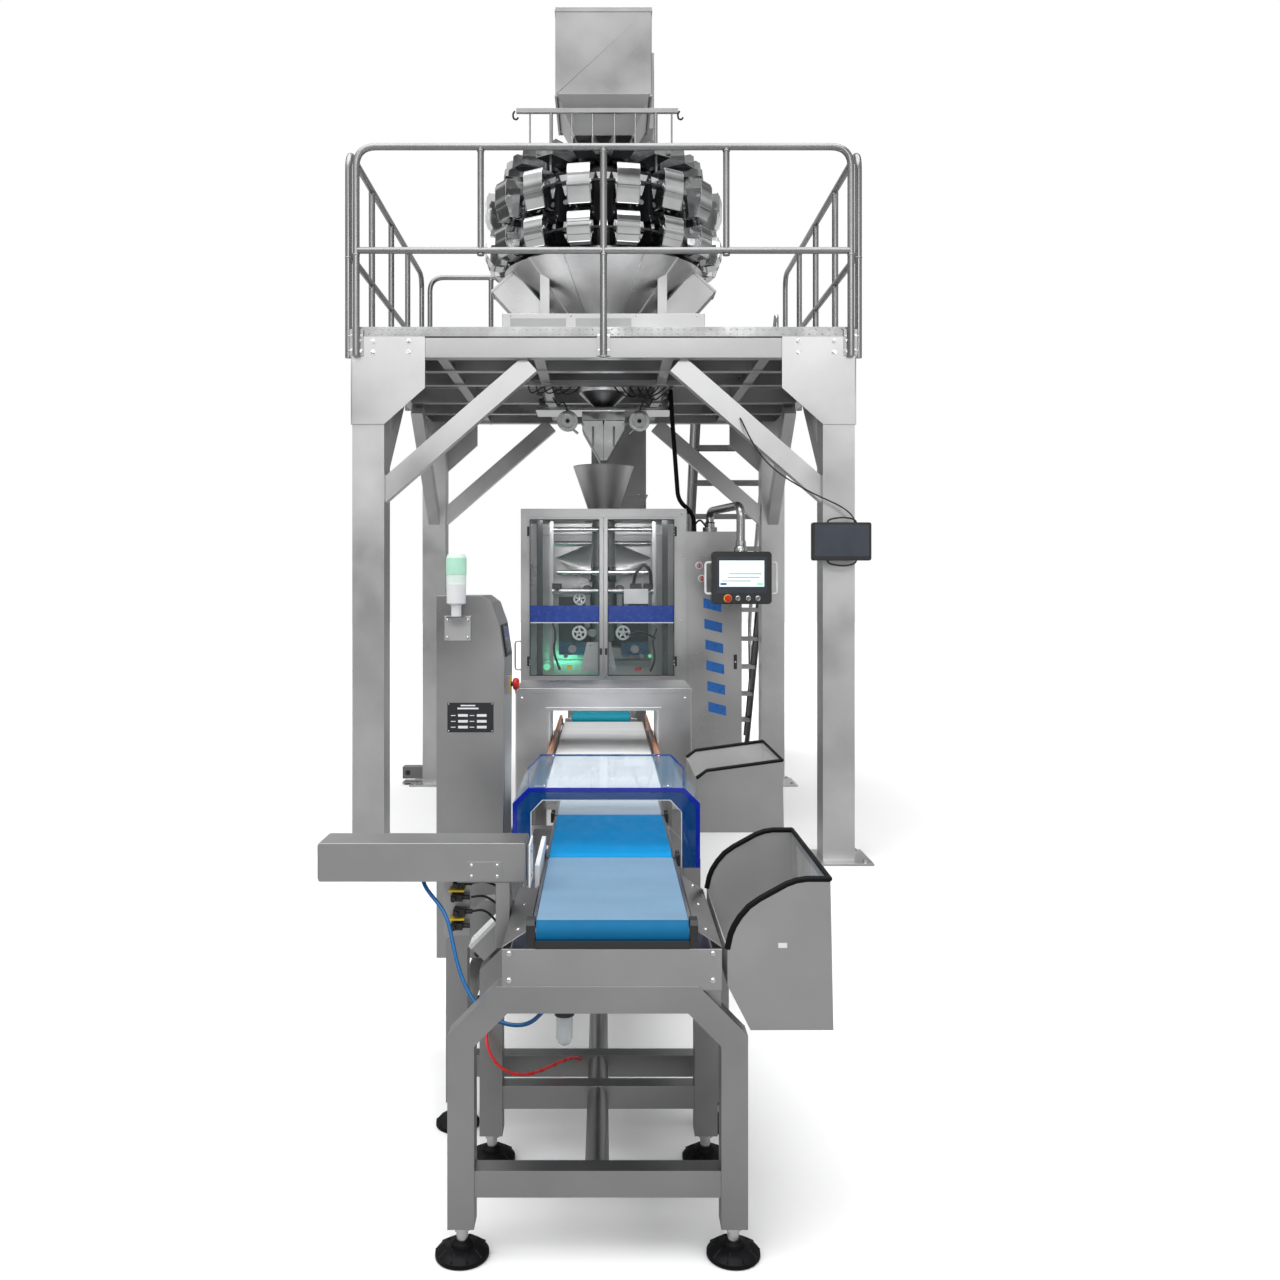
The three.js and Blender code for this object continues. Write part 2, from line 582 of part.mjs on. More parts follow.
function sealerFrame() {
  const half = SEALER_HALF;
  const post = (x0, x1, y0, y1) => box(x0, x1, y0, y1, 60, HEADER + 1);
  let frame = join(
    post(-half, POST_LEFT, SEALER_FRONT, SEALER_FRONT + 60),
    post(POST_RIGHT, half, SEALER_FRONT, SEALER_FRONT + 60),
    post(-half, -half + 60, SEALER_REAR - 60, SEALER_REAR),
    post(half - 60, half, SEALER_REAR - 60, SEALER_REAR),
    box(-half, half, SEALER_FRONT, SEALER_REAR, HEADER, SEALER_TOP),
    box(-half + 1, half - 1, SEALER_FRONT + 5, SEALER_FRONT + 55, 880, DOOR_BOTTOM),
    box(-half, -half + 6, SEALER_FRONT + 59, SEALER_REAR - 59, 880, HEADER + 1),
    box(half - 6, half, SEALER_FRONT + 59, SEALER_REAR - 59, 880, HEADER + 1),
    box(-half + 1, half - 1, 1000, 1020, 900, HEADER + 1),
  );
  for (const side of [-1, 1]) {
    const x0 = side < 0 ? -half : half - 60;
    frame = join(frame, box(x0, x0 + 60, SEALER_FRONT + 1, SEALER_REAR - 1, 60, 120));
    frame = join(frame, box(x0 + 10, x0 + 50, SEALER_REAR - 1, ROLL_Y + 60, ROLL_Z - 60, ROLL_Z + 60));
    frame = join(frame, foot(x0 + 30, SEALER_FRONT + 60, 62), foot(x0 + 30, SEALER_REAR - 60, 62));
  }
  frame = join(frame, box(-half + 1, half - 1, SEALER_REAR - 60, SEALER_REAR - 1, 60, 120));
  const sideHandle = tube(rounded([
    [1 - half, 330, 995], [-half - 38, 330, 995], [-half - 38, 330, 1170], [1 - half, 330, 1170],
  ], 15, 2), 5, 8);
  frame = join(frame, sideHandle);
  const throat = round('z', [0, AXIS_Y], 1900, 2000, 125, 125, 20);
  const shaft = round('x', [ROLL_Y, ROLL_Z], -half - 1, half + 1, 21, 21, 16);
  return cut(frame, throat, shaft);
}
add('sealer_frame', sealerFrame(), STEEL);

// Glazed door: a slab with a shallow pane recess on both faces and a finger grip at its free side.
function door(x0, x1, gripX) {
  const z0 = DOOR_BOTTOM + 1;
  const z1 = HEADER - 1;
  const y = SEALER_FRONT + GAP;
  const slab = box(x0, x1, y, y + 28, z0, z1);
  const rim = 11;
  const stile = 27;
  const paneLeft = x0 + (gripX > 0 ? stile : rim);
  const paneRight = x1 - (gripX > 0 ? rim : stile);
  const front = box(paneLeft, paneRight, y - 1, y + 10, z0 + rim, z1 - rim);
  const rear = box(paneLeft, paneRight, y + 16, y + 30, z0 + rim, z1 - rim);
  const grip = box(gripX - 7, gripX + 7, y - 14, y + 1, 1090, 1130);
  return join(cut(slab, front, rear), grip);
}
add('door_left', door(POST_LEFT + 1, -0.7, -16), 0xaab4b8, 0.2);
add('door_right', door(0.7, POST_RIGHT - 1, 16), 0xaab4b8, 0.2);

add('forming_tube', lathe([
  [TUBE_R, 1150], [TUBE_R, 1960], [107, 2030], [200, FUNNEL_RIM_Z], [196, FUNNEL_RIM_Z],
  [103, 2032], [TUBE_R - 3, 1962], [TUBE_R - 3, 1150],
], 0, AXIS_Y, 18), POLISHED, 0.2);

// Shoulder that folds the film round the tube: a sleeve with two raised wings.
function formingCollar() {
  const sleeve = round('z', [0, AXIS_Y], 1540, 1640, 95, 95, 20);
  const wing = (side) => plateXZ([
    [side * 78, 1545], [side * 312, 1690], [side * 312, 1706], [side * 78, 1805],
    [side * 78, 1790], [side * 288, 1698], [side * 78, 1562],
  ], AXIS_Y - 100, AXIS_Y + 100);
  const brace = box(-60, 60, AXIS_Y + 80, 1000 - GAP, 1545, 1575);
  const bore = round('z', [0, AXIS_Y], 1500, 1900, TUBE_R + 3, TUBE_R + 3, 20);
  return cut(join(sleeve, wing(-1), wing(1), brace), bore);
}
add('forming_collar', formingCollar(), POLISHED, 0.15);

function pullBelt(side) {
  const near = side * (TUBE_R + 1);
  const far = side * (TUBE_R + 61);
  const body = box(Math.min(near, far), Math.max(near, far), AXIS_Y - 30, AXIS_Y + 30, 1210, 1490);
  const end = (z) => round('y', [(near + far) / 2, z], AXIS_Y - 30, AXIS_Y + 30, 30, 30, 10);
  const drive = side * (TUBE_R + 90);
  const housing = box(Math.min(far, drive) - 1, Math.max(far, drive) + 1, AXIS_Y - 25, AXIS_Y + 90, 1290, 1420);
  return join(body, end(1210), end(1490), housing);
}
add('pull_belt_left', pullBelt(-1), 0x2d2f33, 0.6, 0.2);
add('pull_belt_right', pullBelt(1), 0x2d2f33, 0.6, 0.2);

add('sealing_jaw_front', box(-170, 170, AXIS_Y - 85, AXIS_Y - 26, 1040, 1110), DARK_STEEL);
add('sealing_jaw_rear', box(-170, 170, AXIS_Y + 26, AXIS_Y + 85, 1040, 1110), DARK_STEEL);

add('film_roll', join(
  round('x', [ROLL_Y, ROLL_Z], -SEALER_HALF + 5, SEALER_HALF - 5, 20, 20, 16),
  round('x', [ROLL_Y, ROLL_Z], -230, 230, 170, 170, 20),
), WHITE, 0.5, 0);

// ---- electric cabinet and operator panel ---------------------------------------------------
const CABINET_LEFT = SEALER_HALF + GAP;
const CABINET_RIGHT = 854;
const CABINET_TOP = 1850;
const ARM_X = 665;
const ARM_Y = 390;
const PANEL_X = 790;
const PANEL_Y = -190;
const PIPE_R = 25;

function electricCabinet() {
  let cabinet = box(CABINET_LEFT, CABINET_RIGHT, 300, 1000, 60, CABINET_TOP);
  for (const x of [600, 790]) {
    for (const y of [350, 950]) cabinet = join(cabinet, foot(x, y, 60));
  }
  for (const z of [1640, 1560]) {
    const x = z > 1600 ? 590 : 606;
    cabinet = join(cabinet, round('y', [x, z], 270, 301, 16, 16, 12));
  }
  const conduit = tube(rounded([
    [585, 600, CABINET_TOP - 1], [580, 600, 1980], [480, 590, 2060], [440, 585, 2600],
    [430, 585, BEAM_BOTTOM + 10 - GAP],
  ], 40), 13, 6);
  const collar = round('z', [ARM_X, ARM_Y], CABINET_TOP - 1, CABINET_TOP + 30, 45, 45, 16);
  return join(cabinet, conduit, collar);
}
add('electric_cabinet', electricCabinet(), STEEL);

add('panel_arm', tube(rounded([
  [ARM_X, ARM_Y, CABINET_TOP + 30 + GAP], [ARM_X, ARM_Y, 1980], [PANEL_X, PANEL_Y, 1980],
  [PANEL_X, PANEL_Y, 1745],
], 60), PIPE_R, 10), STEEL, 0.25);

const PANEL_BUTTON_X = 712;
const PANEL_BUTTON_Z = 1443;

function operatorPanel() {
  const front = PANEL_Y - 30;
  const body = box(620, 965, front, PANEL_Y + 50, 1410, 1712);
  const socket = round('z', [PANEL_X, PANEL_Y + 5], 1711, 1744, 40, 40, 16);
  let panel = join(body, socket);
  for (const x of [627, 958]) {
    const out = Math.sign(x - 790);
    panel = join(panel, tube(rounded([
      [x, PANEL_Y, 1470], [x + out * 40, PANEL_Y, 1470], [x + out * 40, PANEL_Y, 1650], [x, PANEL_Y, 1650],
    ], 15, 1), 7, 6));
  }
  for (const x of [770, 830, 885]) {
    panel = join(panel, round('y', [x, PANEL_BUTTON_Z], front - 8, front + 1, 15, 15, 8));
  }
  const well = round('y', [PANEL_BUTTON_X, PANEL_BUTTON_Z], front - 1, front + 24, 9, 9, 12);
  return cut(panel, well);
}
add('operator_panel', operatorPanel(), BLACK, 0.5, 0.2);

add('panel_stop_button', join(
  round('y', [PANEL_BUTTON_X, PANEL_BUTTON_Z], PANEL_Y - 54, PANEL_Y - 38, 20, 20, 14),
  round('y', [PANEL_BUTTON_X, PANEL_BUTTON_Z], PANEL_Y - 39, PANEL_Y - 22, 8, 8, 10),
), 0xc02020, 0.4, 0);

function weightDisplay() {
  const x = 1285;
  const body = box(x - 160, x + 160, -620, -575, 1652, 1858);
  const bracket = box(x - 40, x + 40, -576, DECK_FRONT - GAP, 1715, 1795);
  return join(body, bracket);
}
add('weight_display', weightDisplay(), BLACK, 0.4, 0.2);

// ---- belt conveyors ------------------------------------------------------------------------
// Bed and side cheeks of one conveyor; cheeks carry the drum shafts in open bores.
function conveyorBed(x0, x1, y0, y1, zTop, cheekDrop) {
  const outer = DRUM_R + BELT_SKIN;
  const axle = zTop - outer;
  const bed = box(x0 - 3, x1 + 3, y0 + 70, y1 - 70, axle - 14, axle + 14);
  const cheek = (x) => box(x, x + 8, y0 + 8, y1 - 8, axle - cheekDrop, zTop - 8);
  return join(bed, cheek(x0 - 10), cheek(x1 + 2));
}

const TAKE_X = -14;
const TAKE_HALF = 160;
const TAKE_FRONT = -405;
const TAKE_REAR = 935;
const TAKE_TOP = 800;

function takeawayFrame() {
  let frame = conveyorBed(TAKE_X - TAKE_HALF, TAKE_X + TAKE_HALF, TAKE_FRONT, TAKE_REAR, TAKE_TOP, 50);
  for (const y of [-300, 200]) {
    for (const side of [-1, 1]) {
      const x = TAKE_X + side * (TAKE_HALF + 25);
      frame = join(frame, box(x - 18, x + 18, y - 20, y + 20, 40, 765), foot(x, y, 41));
    }
    frame = join(frame, box(TAKE_X - TAKE_HALF - 25, TAKE_X + TAKE_HALF + 25, y - 15, y + 15, 300, 340));
  }
  return frame;
}
add('takeaway_frame', takeawayFrame(), STEEL);
const takeawayBelt = beltLoop(TAKE_X - TAKE_HALF, TAKE_X + TAKE_HALF, TAKE_FRONT, TAKE_REAR, TAKE_TOP);
add('takeaway_belt', takeawayBelt, 0x2f9aa8, 0.6, 0);

// ---- metal detector ------------------------------------------------------------------------
const DETECTOR_FRONT = -1615;
const DETECTOR_REAR = -1165;
const DETECTOR_BELT_HALF = 215;
const DETECTOR_BELT_FRONT = -2605;
const DETECTOR_BELT_REAR = -415;

add('detector_head', cut(
  box(-400, 400, DETECTOR_FRONT, DETECTOR_REAR, 500, 1047),
  box(-250, 250, DETECTOR_FRONT - 1, DETECTOR_REAR + 1, 640, 953),
), STEEL);

function detectorStand() {
  const half = DETECTOR_BELT_HALF;
  let stand = conveyorBed(-half, half, DETECTOR_BELT_FRONT, DETECTOR_BELT_REAR, BELT_TOP, 46);
  for (const y of [-2400, -700]) {
    for (const side of [-1, 1]) {
      const x = side * (half + 28);
      stand = join(stand, box(x - 22, x + 22, y - 22, y + 22, 60, 745), foot(x, y, 61));
    }
    stand = join(stand, box(-half - 28, half + 28, y - 18, y + 18, 240, 280));
  }
  for (const y of [DETECTOR_FRONT + 60, DETECTOR_REAR - 60]) {
    for (const x of [-340, 340]) {
      stand = join(stand, box(x - 25, x + 25, y - 25, y + 25, 60, 500 - GAP), foot(x, y, 61));
    }
    stand = join(stand, box(-341, 341, y - 20, y + 20, 180, 230));
  }
  for (const x of [-half - 28, half + 28]) {
    stand = join(stand, box(x - 15, x + 15, -2401, -699, 185, 225));
  }
  return stand;
}
add('detector_stand', detectorStand(), STEEL);
const detectorBelt = beltLoop(
  -DETECTOR_BELT_HALF, DETECTOR_BELT_HALF, DETECTOR_BELT_FRONT, DETECTOR_BELT_REAR, BELT_TOP,
);
add('detector_belt', detectorBelt, WHITE, 0.7, 0);

// ---- checkweigher --------------------------------------------------------------------------
const BELT_HALF = 172;
const OUT_FRONT = -4295;
const OUT_REAR = -3640;
const WEIGH_FRONT = -3630;
const WEIGH_REAR = -3035;
const IN_FRONT = -3025;
const IN_REAR = -2615;
const LEG = 60;
const FRAME_LEFT = -350;
const FRAME_RIGHT = 324;
const REAR_LEG_Y = -3825;
const RAIL_BOTTOM = 560;
const RAIL_UPPER = 620;
const beltLeft = LINE_X - BELT_HALF;
const beltRight = LINE_X + BELT_HALF;

// Portal of two legs and a crossbar with chamfered corners.
function portal(left, right, y, top) {
  const chamfer = 110;
  const inner = LEG * 0.41;
  const outline = [
    [left, 75], [left + LEG, 75], [left + LEG, top - chamfer - inner],
    [left + chamfer + inner, top - LEG], [right - chamfer - inner, top - LEG],
    [right - LEG, top - chamfer - inner], [right - LEG, 75], [right, 75],
    [right, top - chamfer], [right - chamfer, top], [left + chamfer, top], [left, top - chamfer],
  ];
  const middle = y + LEG / 2;
  return join(
    plateXZ(outline, y, y + LEG),
    box(left + LEG - 1, right - LEG + 1, y + 5, y + LEG - 5, 145, 205),
    foot(left + LEG / 2, middle, 75),
    foot(right - LEG / 2, middle, 75),
  );
}

function checkweigherFrame() {
  const rear = REAR_LEG_Y - LEG / 2;
  let frame = join(
    portal(FRAME_LEFT, FRAME_RIGHT, LINE_FRONT, RAIL_UPPER),
    portal(FRAME_LEFT + 25, FRAME_RIGHT - 25, rear, RAIL_UPPER),
    round('y', [-15, 176], LINE_FRONT + 20, -3650 - GAP, 27, 27, 12),
  );
  for (const x of [-228, 214]) {
    frame = join(frame, box(x, x + 52, LINE_FRONT + 20, rear + 20, RAIL_BOTTOM + 2, RAIL_UPPER - 1));
  }
  frame = join(frame, box(-228, 266, LINE_FRONT + 4, LINE_FRONT + 10, RAIL_UPPER - 10, 704));
  const bed = conveyorBed(beltLeft, beltRight, OUT_FRONT, OUT_REAR, BELT_TOP, 42);
  const axle = BELT_TOP - DRUM_R - BELT_SKIN;
  const bores = [OUT_FRONT + DRUM_R + BELT_SKIN, OUT_REAR - DRUM_R - BELT_SKIN].map((y) => (
    round('x', [y, axle], beltLeft - 20, beltRight + 20, 10.8, 10.8, 12)
  ));
  const cheekFoot = (x) => box(x, x + 8, LINE_FRONT + 60, rear + 20, RAIL_UPPER - 5, 705);
  frame = join(frame, bed, cheekFoot(beltLeft - 10), cheekFoot(beltRight + 2));
  return cut(frame, ...bores);
}
add('checkweigher_frame', checkweigherFrame(), DARK_STEEL);

function outfeedDrum(y) {
  const axle = BELT_TOP - DRUM_R - BELT_SKIN;
  return join(
    round('x', [y, axle], beltLeft + 2, beltRight - 2, DRUM_R - 1.2, DRUM_R - 1.2, 16),
    round('x', [y, axle], beltLeft - 8, beltRight + 8, 10, 10, 10),
  );
}
add('outfeed_drum_front', outfeedDrum(OUT_FRONT + DRUM_R + BELT_SKIN), DARK_STEEL);
add('outfeed_drum_rear', outfeedDrum(OUT_REAR - DRUM_R - BELT_SKIN), DARK_STEEL);
add('outfeed_belt', beltLoop(beltLeft, beltRight, OUT_FRONT, OUT_REAR, BELT_TOP), 0x6fa9cc, 0.6, 0);
add('weigh_belt', beltLoop(beltLeft, beltRight, WEIGH_FRONT, WEIGH_REAR, BELT_TOP), BLUE_BELT, 0.6, 0);
add('infeed_belt', beltLoop(beltLeft, beltRight, IN_FRONT, IN_REAR, BELT_TOP), 0xcfe2ea, 0.6, 0);

const STAND_LEFT = -440;
const STAND_RIGHT = 350;

function checkweigherStand() {
  let stand = conveyorBed(beltLeft, beltRight, WEIGH_FRONT, WEIGH_REAR, BELT_TOP, 42);
  stand = join(stand, conveyorBed(beltLeft, beltRight, IN_FRONT, IN_REAR, BELT_TOP, 42));
  for (const y of [-3655, -2700]) {
    stand = join(stand, portal(STAND_LEFT, STAND_RIGHT, y, 640));
  }
  for (const x of [STAND_LEFT + 140, STAND_RIGHT - 165]) {
    stand = join(stand, box(x, x + 50, -3650, -2645, 585, 638));
  }
  for (const y of [-3560, -3110, -2950, -2700]) {
    stand = join(stand, box(beltLeft - 10, beltRight + 10, y, y + 40, 637, 700));
  }
  stand = join(stand, round('y', [-15, 176], -3630, -2690, 27, 27, 12));
  const boss = box(STAND_LEFT + 20, STAND_LEFT + 60, -3650, -2645, 280, 330);
  return join(stand, boss);
}
add('checkweigher_stand', checkweigherStand(), DARK_STEEL);

// ---- tunnel hood ---------------------------------------------------------------------------
const HOOD_FRONT = -3555;
const HOOD_REAR = -2885;
const HOOD_FOOT = 706;

function tunnelHood() {
  const outline = (grow) => {
    const chamfer = 45;
    const left = -262 - grow;
    const right = 278 + grow;
    const top = 936 + grow;
    return [
      [left, HOOD_FOOT], [left, top - chamfer], [left + chamfer, top],
      [right - chamfer, top], [right, top - chamfer], [right, HOOD_FOOT],
    ];
  };
  const shell = cut(
    plateXZ(outline(0), HOOD_FRONT, HOOD_REAR),
    plateXZ(outline(-5).map(([x, z]) => [x, z === HOOD_FOOT ? z - 10 : z]), HOOD_FRONT - 1, HOOD_REAR + 1),
  );
  const pivot = round('y', [273, HOOD_FOOT + 6], HOOD_FRONT + 20, HOOD_REAR - 20, 7, 7, 10);
  return join(shell, pivot);
}
add('tunnel_hood', tunnelHood(), 0x2b4fc0, 0.1, 0);

// ---- control cabinet, stop button and beacon -----------------------------------------------
const CONTROL_FRONT = -3315;
const CONTROL_REAR = -3000;
const STOP_Z = 1205;

function controlCabinet() {
  const outline = [
    [-515, 370], [-312, 370], [-306, 1290], [-322, 1400], [-345, 1465], [-375, 1487], [-515, 1487],
  ];
  const body = plateXZ(outline, CONTROL_FRONT, CONTROL_REAR);
  const bracket = box(-490, -408, CONTROL_FRONT - 6, CONTROL_FRONT + 1, 1347, 1424);
  const shelf = box(-475, -423, CONTROL_FRONT - 70, CONTROL_FRONT + 1, 1418, 1424);
  const collar = box(-312, -296, -3225, -3165, STOP_Z - 30, STOP_Z + 30);
  const well = round('x', [-3195, STOP_Z], -330, -290, 9, 9, 12);
  return cut(join(body, bracket, shelf, collar), well);
}
add('control_cabinet', controlCabinet(), DARK_STEEL);

add('stop_button', join(
  round('x', [-3195, STOP_Z], -288, -268, 20, 20, 14),
  round('x', [-3195, STOP_Z], -306, -287, 8, 8, 10),
), 0xc02020, 0.4, 0);

add('signal_beacon', join(
  round('z', [-449, CONTROL_FRONT - 38], 1424 + GAP, 1462, 16, 16, 12),
  round('z', [-449, CONTROL_FRONT - 38], 1461, 1524, 30, 30, 16),
  round('z', [-449, CONTROL_FRONT - 38], 1523, 1615, 31, 31, 16),
), 0x8fe0b0, 0.3, 0);

// ---- pneumatic pusher ----------------------------------------------------------------------
const PUSHER_FRONT = -4045;
const PUSHER_REAR = -3925;
const PUSHER_RIGHT = -190;
const ROD_Z = 845;

function pusherHousing() {
  const body = box(-703, PUSHER_RIGHT, PUSHER_FRONT, PUSHER_REAR, 790, 885);
  const post = box(-267, -232, PUSHER_FRONT + 20, PUSHER_REAR - 20, RAIL_UPPER - 1 + GAP, 791);
  const bore = round('x', [(PUSHER_FRONT + PUSHER_REAR) / 2, ROD_Z], -660, PUSHER_RIGHT + 1, 12.5, 12.5, 12);
  return cut(join(body, post), bore);
}
add('pusher_housing', pusherHousing(), STEEL);

add('pusher_plate', join(
  box(PUSHER_RIGHT + GAP, PUSHER_RIGHT + 10, PUSHER_FRONT + 5, PUSHER_REAR - 5, 775, 880),
  round('x', [(PUSHER_FRONT + PUSHER_REAR) / 2, ROD_Z], -650, PUSHER_RIGHT + 5, 10, 10, 12),
), DARK_STEEL);

function airFilter() {
  const x = -92;
  const y = -4165;
  return join(
    lathe([[0, 437], [14, 440], [20, 455], [20, 515], [0, 515]], x, y, 14),
    box(x - 26, x + 26, y - 24, y + 24, 514, 558),
    box(x - 10, x + 10, y + 10, y + 40, 530, RAIL_BOTTOM - 1),
  );
}
add('air_filter', airFilter(), 0xd8dadb, 0.3, 0.3);

// ---- reject bins ---------------------------------------------------------------------------
function bin(outline, y0, y1, wall) {
  const inner = new THREE.Shape(outline.map(([x, z]) => new THREE.Vector2(x, z)));
  const points = inner.getPoints();
  const floor = Math.min(...points.map((p) => p.y));
  const left = Math.min(...points.map((p) => p.x));
  const right = Math.max(...points.map((p) => p.x));
  const middle = (left + right) / 2;
  const hollow = outline.map(([x, z]) => [
    x < middle ? x + wall : x - wall,
    z < floor + 100 ? z + wall : z,
  ]);
  const raised = hollow.map(([x, z]) => [x, z > floor + 120 ? z + 60 : z]);
  return cut(plateXZ(outline, y0, y1), plateXZ(raised, y0 + wall, y1 - wall));
}

const BIN_RIGHT = 516;
const frontBin = [
  [330, 521], [BIN_RIGHT, 521], [509, 860], [457, 860], [410, 848], [350, 815], [306, 775], [285, 735],
  [278, 703], [278, 622],
];
add('reject_bin_front', bin(frontBin, -4295, -3765, 5), STEEL);
const rearBin = [[360, 560], [700, 560], [695, 840], [400, 800], [360, 770]];
add('reject_bin_rear', bin(rearBin, -2385, -1825, 5), STEEL);

// ---- hoses and cable -----------------------------------------------------------------------
// Routes run from fitting to fitting: straight at both ends, with a smooth curve between.
const BLUE_HOSE_R = 5;
const RED_HOSE_R = 4;
const CABLE_R = 4;

function cord(points, radius, steps) {
  const free = points.slice(1, -1).map((p) => new THREE.Vector3(...p));
  const even = new THREE.CatmullRomCurve3(free, false, 'centripetal').getSpacedPoints(steps);
  return tube([points[0], ...even.map((p) => [p.x, p.y, p.z]), points[points.length - 1]], radius, 8);
}

add('blue_air_hose', cord([
  [-453, -3985, 790 - GAP], [-453, -3985, 774], [-440, -3995, 755], [-410, -4015, 730], [-388, -4035, 705],
  [-376, -4050, 675], [-364, -4070, 630], [-350, -4085, 585], [-329, -4105, 545], [-300, -4120, 508],
  [-264, -4130, 484], [-225, -4140, 474], [-188, -4150, 477], [-158, -4160, 494], [-134, -4165, 528],
  [-118 - GAP, -4165, 528],
], BLUE_HOSE_R, 24), 0x2f86cf, 0.4, 0);

add('red_air_hose', cord([
  [-305, -3855 - GAP, 352], [-305, -3870, 352], [-304, -3886, 338], [-298, -3894, 318], [-285, -3898, 294],
  [-266, -3896, 272], [-240, -3888, 254], [-210, -3870, 242], [-178, -3840, 236], [-146, -3800, 234],
  [-116, -3756, 231], [-90, -3712, 224], [-72, -3680, 212], [-64, -3664, 196], [-64, -3650 - GAP, 196],
], RED_HOSE_R, 24), 0xd23a3a, 0.4, 0);

add('display_cable', cord([
  [754, -467.5 - GAP, 2440], [754, -482, 2440], [768, -496, 2404], [790, -508, 2352], [822, -518, 2290],
  [862, -526, 2228], [910, -533, 2172], [965, -539, 2125], [1025, -544, 2085], [1090, -549, 2046],
  [1155, -554, 2012], [1220, -560, 1982], [1280, -567, 1953], [1328, -578, 1920], [1352, -590, 1888],
  [1356, -598, 1874], [1356, -598, 1858 + GAP],
], CABLE_R, 42), BLACK, 0.6, 0);

export default group;
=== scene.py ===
"""Bagging line with a vertical form fill sealer: the looks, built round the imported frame."""
import math

import bmesh
import bpy
from mathutils import Matrix, Vector


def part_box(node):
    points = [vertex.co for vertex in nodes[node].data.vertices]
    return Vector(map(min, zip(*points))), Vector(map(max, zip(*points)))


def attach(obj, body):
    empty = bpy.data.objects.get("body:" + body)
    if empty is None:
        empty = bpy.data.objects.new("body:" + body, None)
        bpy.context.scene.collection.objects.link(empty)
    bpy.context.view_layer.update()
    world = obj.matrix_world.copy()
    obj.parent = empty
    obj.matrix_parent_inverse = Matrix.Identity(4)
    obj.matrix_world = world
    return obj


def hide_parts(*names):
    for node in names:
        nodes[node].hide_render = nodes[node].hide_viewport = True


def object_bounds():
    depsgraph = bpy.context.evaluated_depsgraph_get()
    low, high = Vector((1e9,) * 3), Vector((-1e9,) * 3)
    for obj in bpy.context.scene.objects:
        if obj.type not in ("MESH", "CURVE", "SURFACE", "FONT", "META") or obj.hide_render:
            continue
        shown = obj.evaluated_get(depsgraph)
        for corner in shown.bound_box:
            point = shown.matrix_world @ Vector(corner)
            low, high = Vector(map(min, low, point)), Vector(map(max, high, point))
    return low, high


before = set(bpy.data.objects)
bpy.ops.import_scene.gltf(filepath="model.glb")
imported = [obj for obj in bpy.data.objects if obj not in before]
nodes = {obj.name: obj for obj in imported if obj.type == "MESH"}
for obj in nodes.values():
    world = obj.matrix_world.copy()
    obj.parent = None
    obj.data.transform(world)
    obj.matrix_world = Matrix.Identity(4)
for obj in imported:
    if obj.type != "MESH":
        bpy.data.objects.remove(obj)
cad_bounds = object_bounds()
scene = bpy.context.scene
LINE = "line"


# ---- camera, light and stage ----------------------------------------------------------------
EYE_HEIGHT = 1.52
EYE_BACK = 2.586          # from the front end of the line to the camera


def make_camera():
    data = bpy.data.cameras.new("camera")
    camera = bpy.data.objects.new("camera", data)
    scene.collection.objects.link(camera)
    camera.location = (0.0, cad_bounds[0][1] - EYE_BACK, EYE_HEIGHT)
    camera.rotation_euler = (math.radians(90), 0, 0)
    data.lens = 32.85
    data.shift_x = 0.0285
    data.shift_y = -0.043
    data.clip_end = 200
    scene.camera = camera


def area_light(name, place, aim, size, power, tint=(1, 1, 1)):
    data = bpy.data.lights.new(name, "AREA")
    data.shape = "RECTANGLE"
    data.size, data.size_y = size
    data.energy = power
    data.color = tint
    lamp = bpy.data.objects.new(name, data)
    scene.collection.objects.link(lamp)
    lamp.location = place
    lamp.rotation_euler = (Vector(aim) - Vector(place)).to_track_quat("-Z", "Y").to_euler()


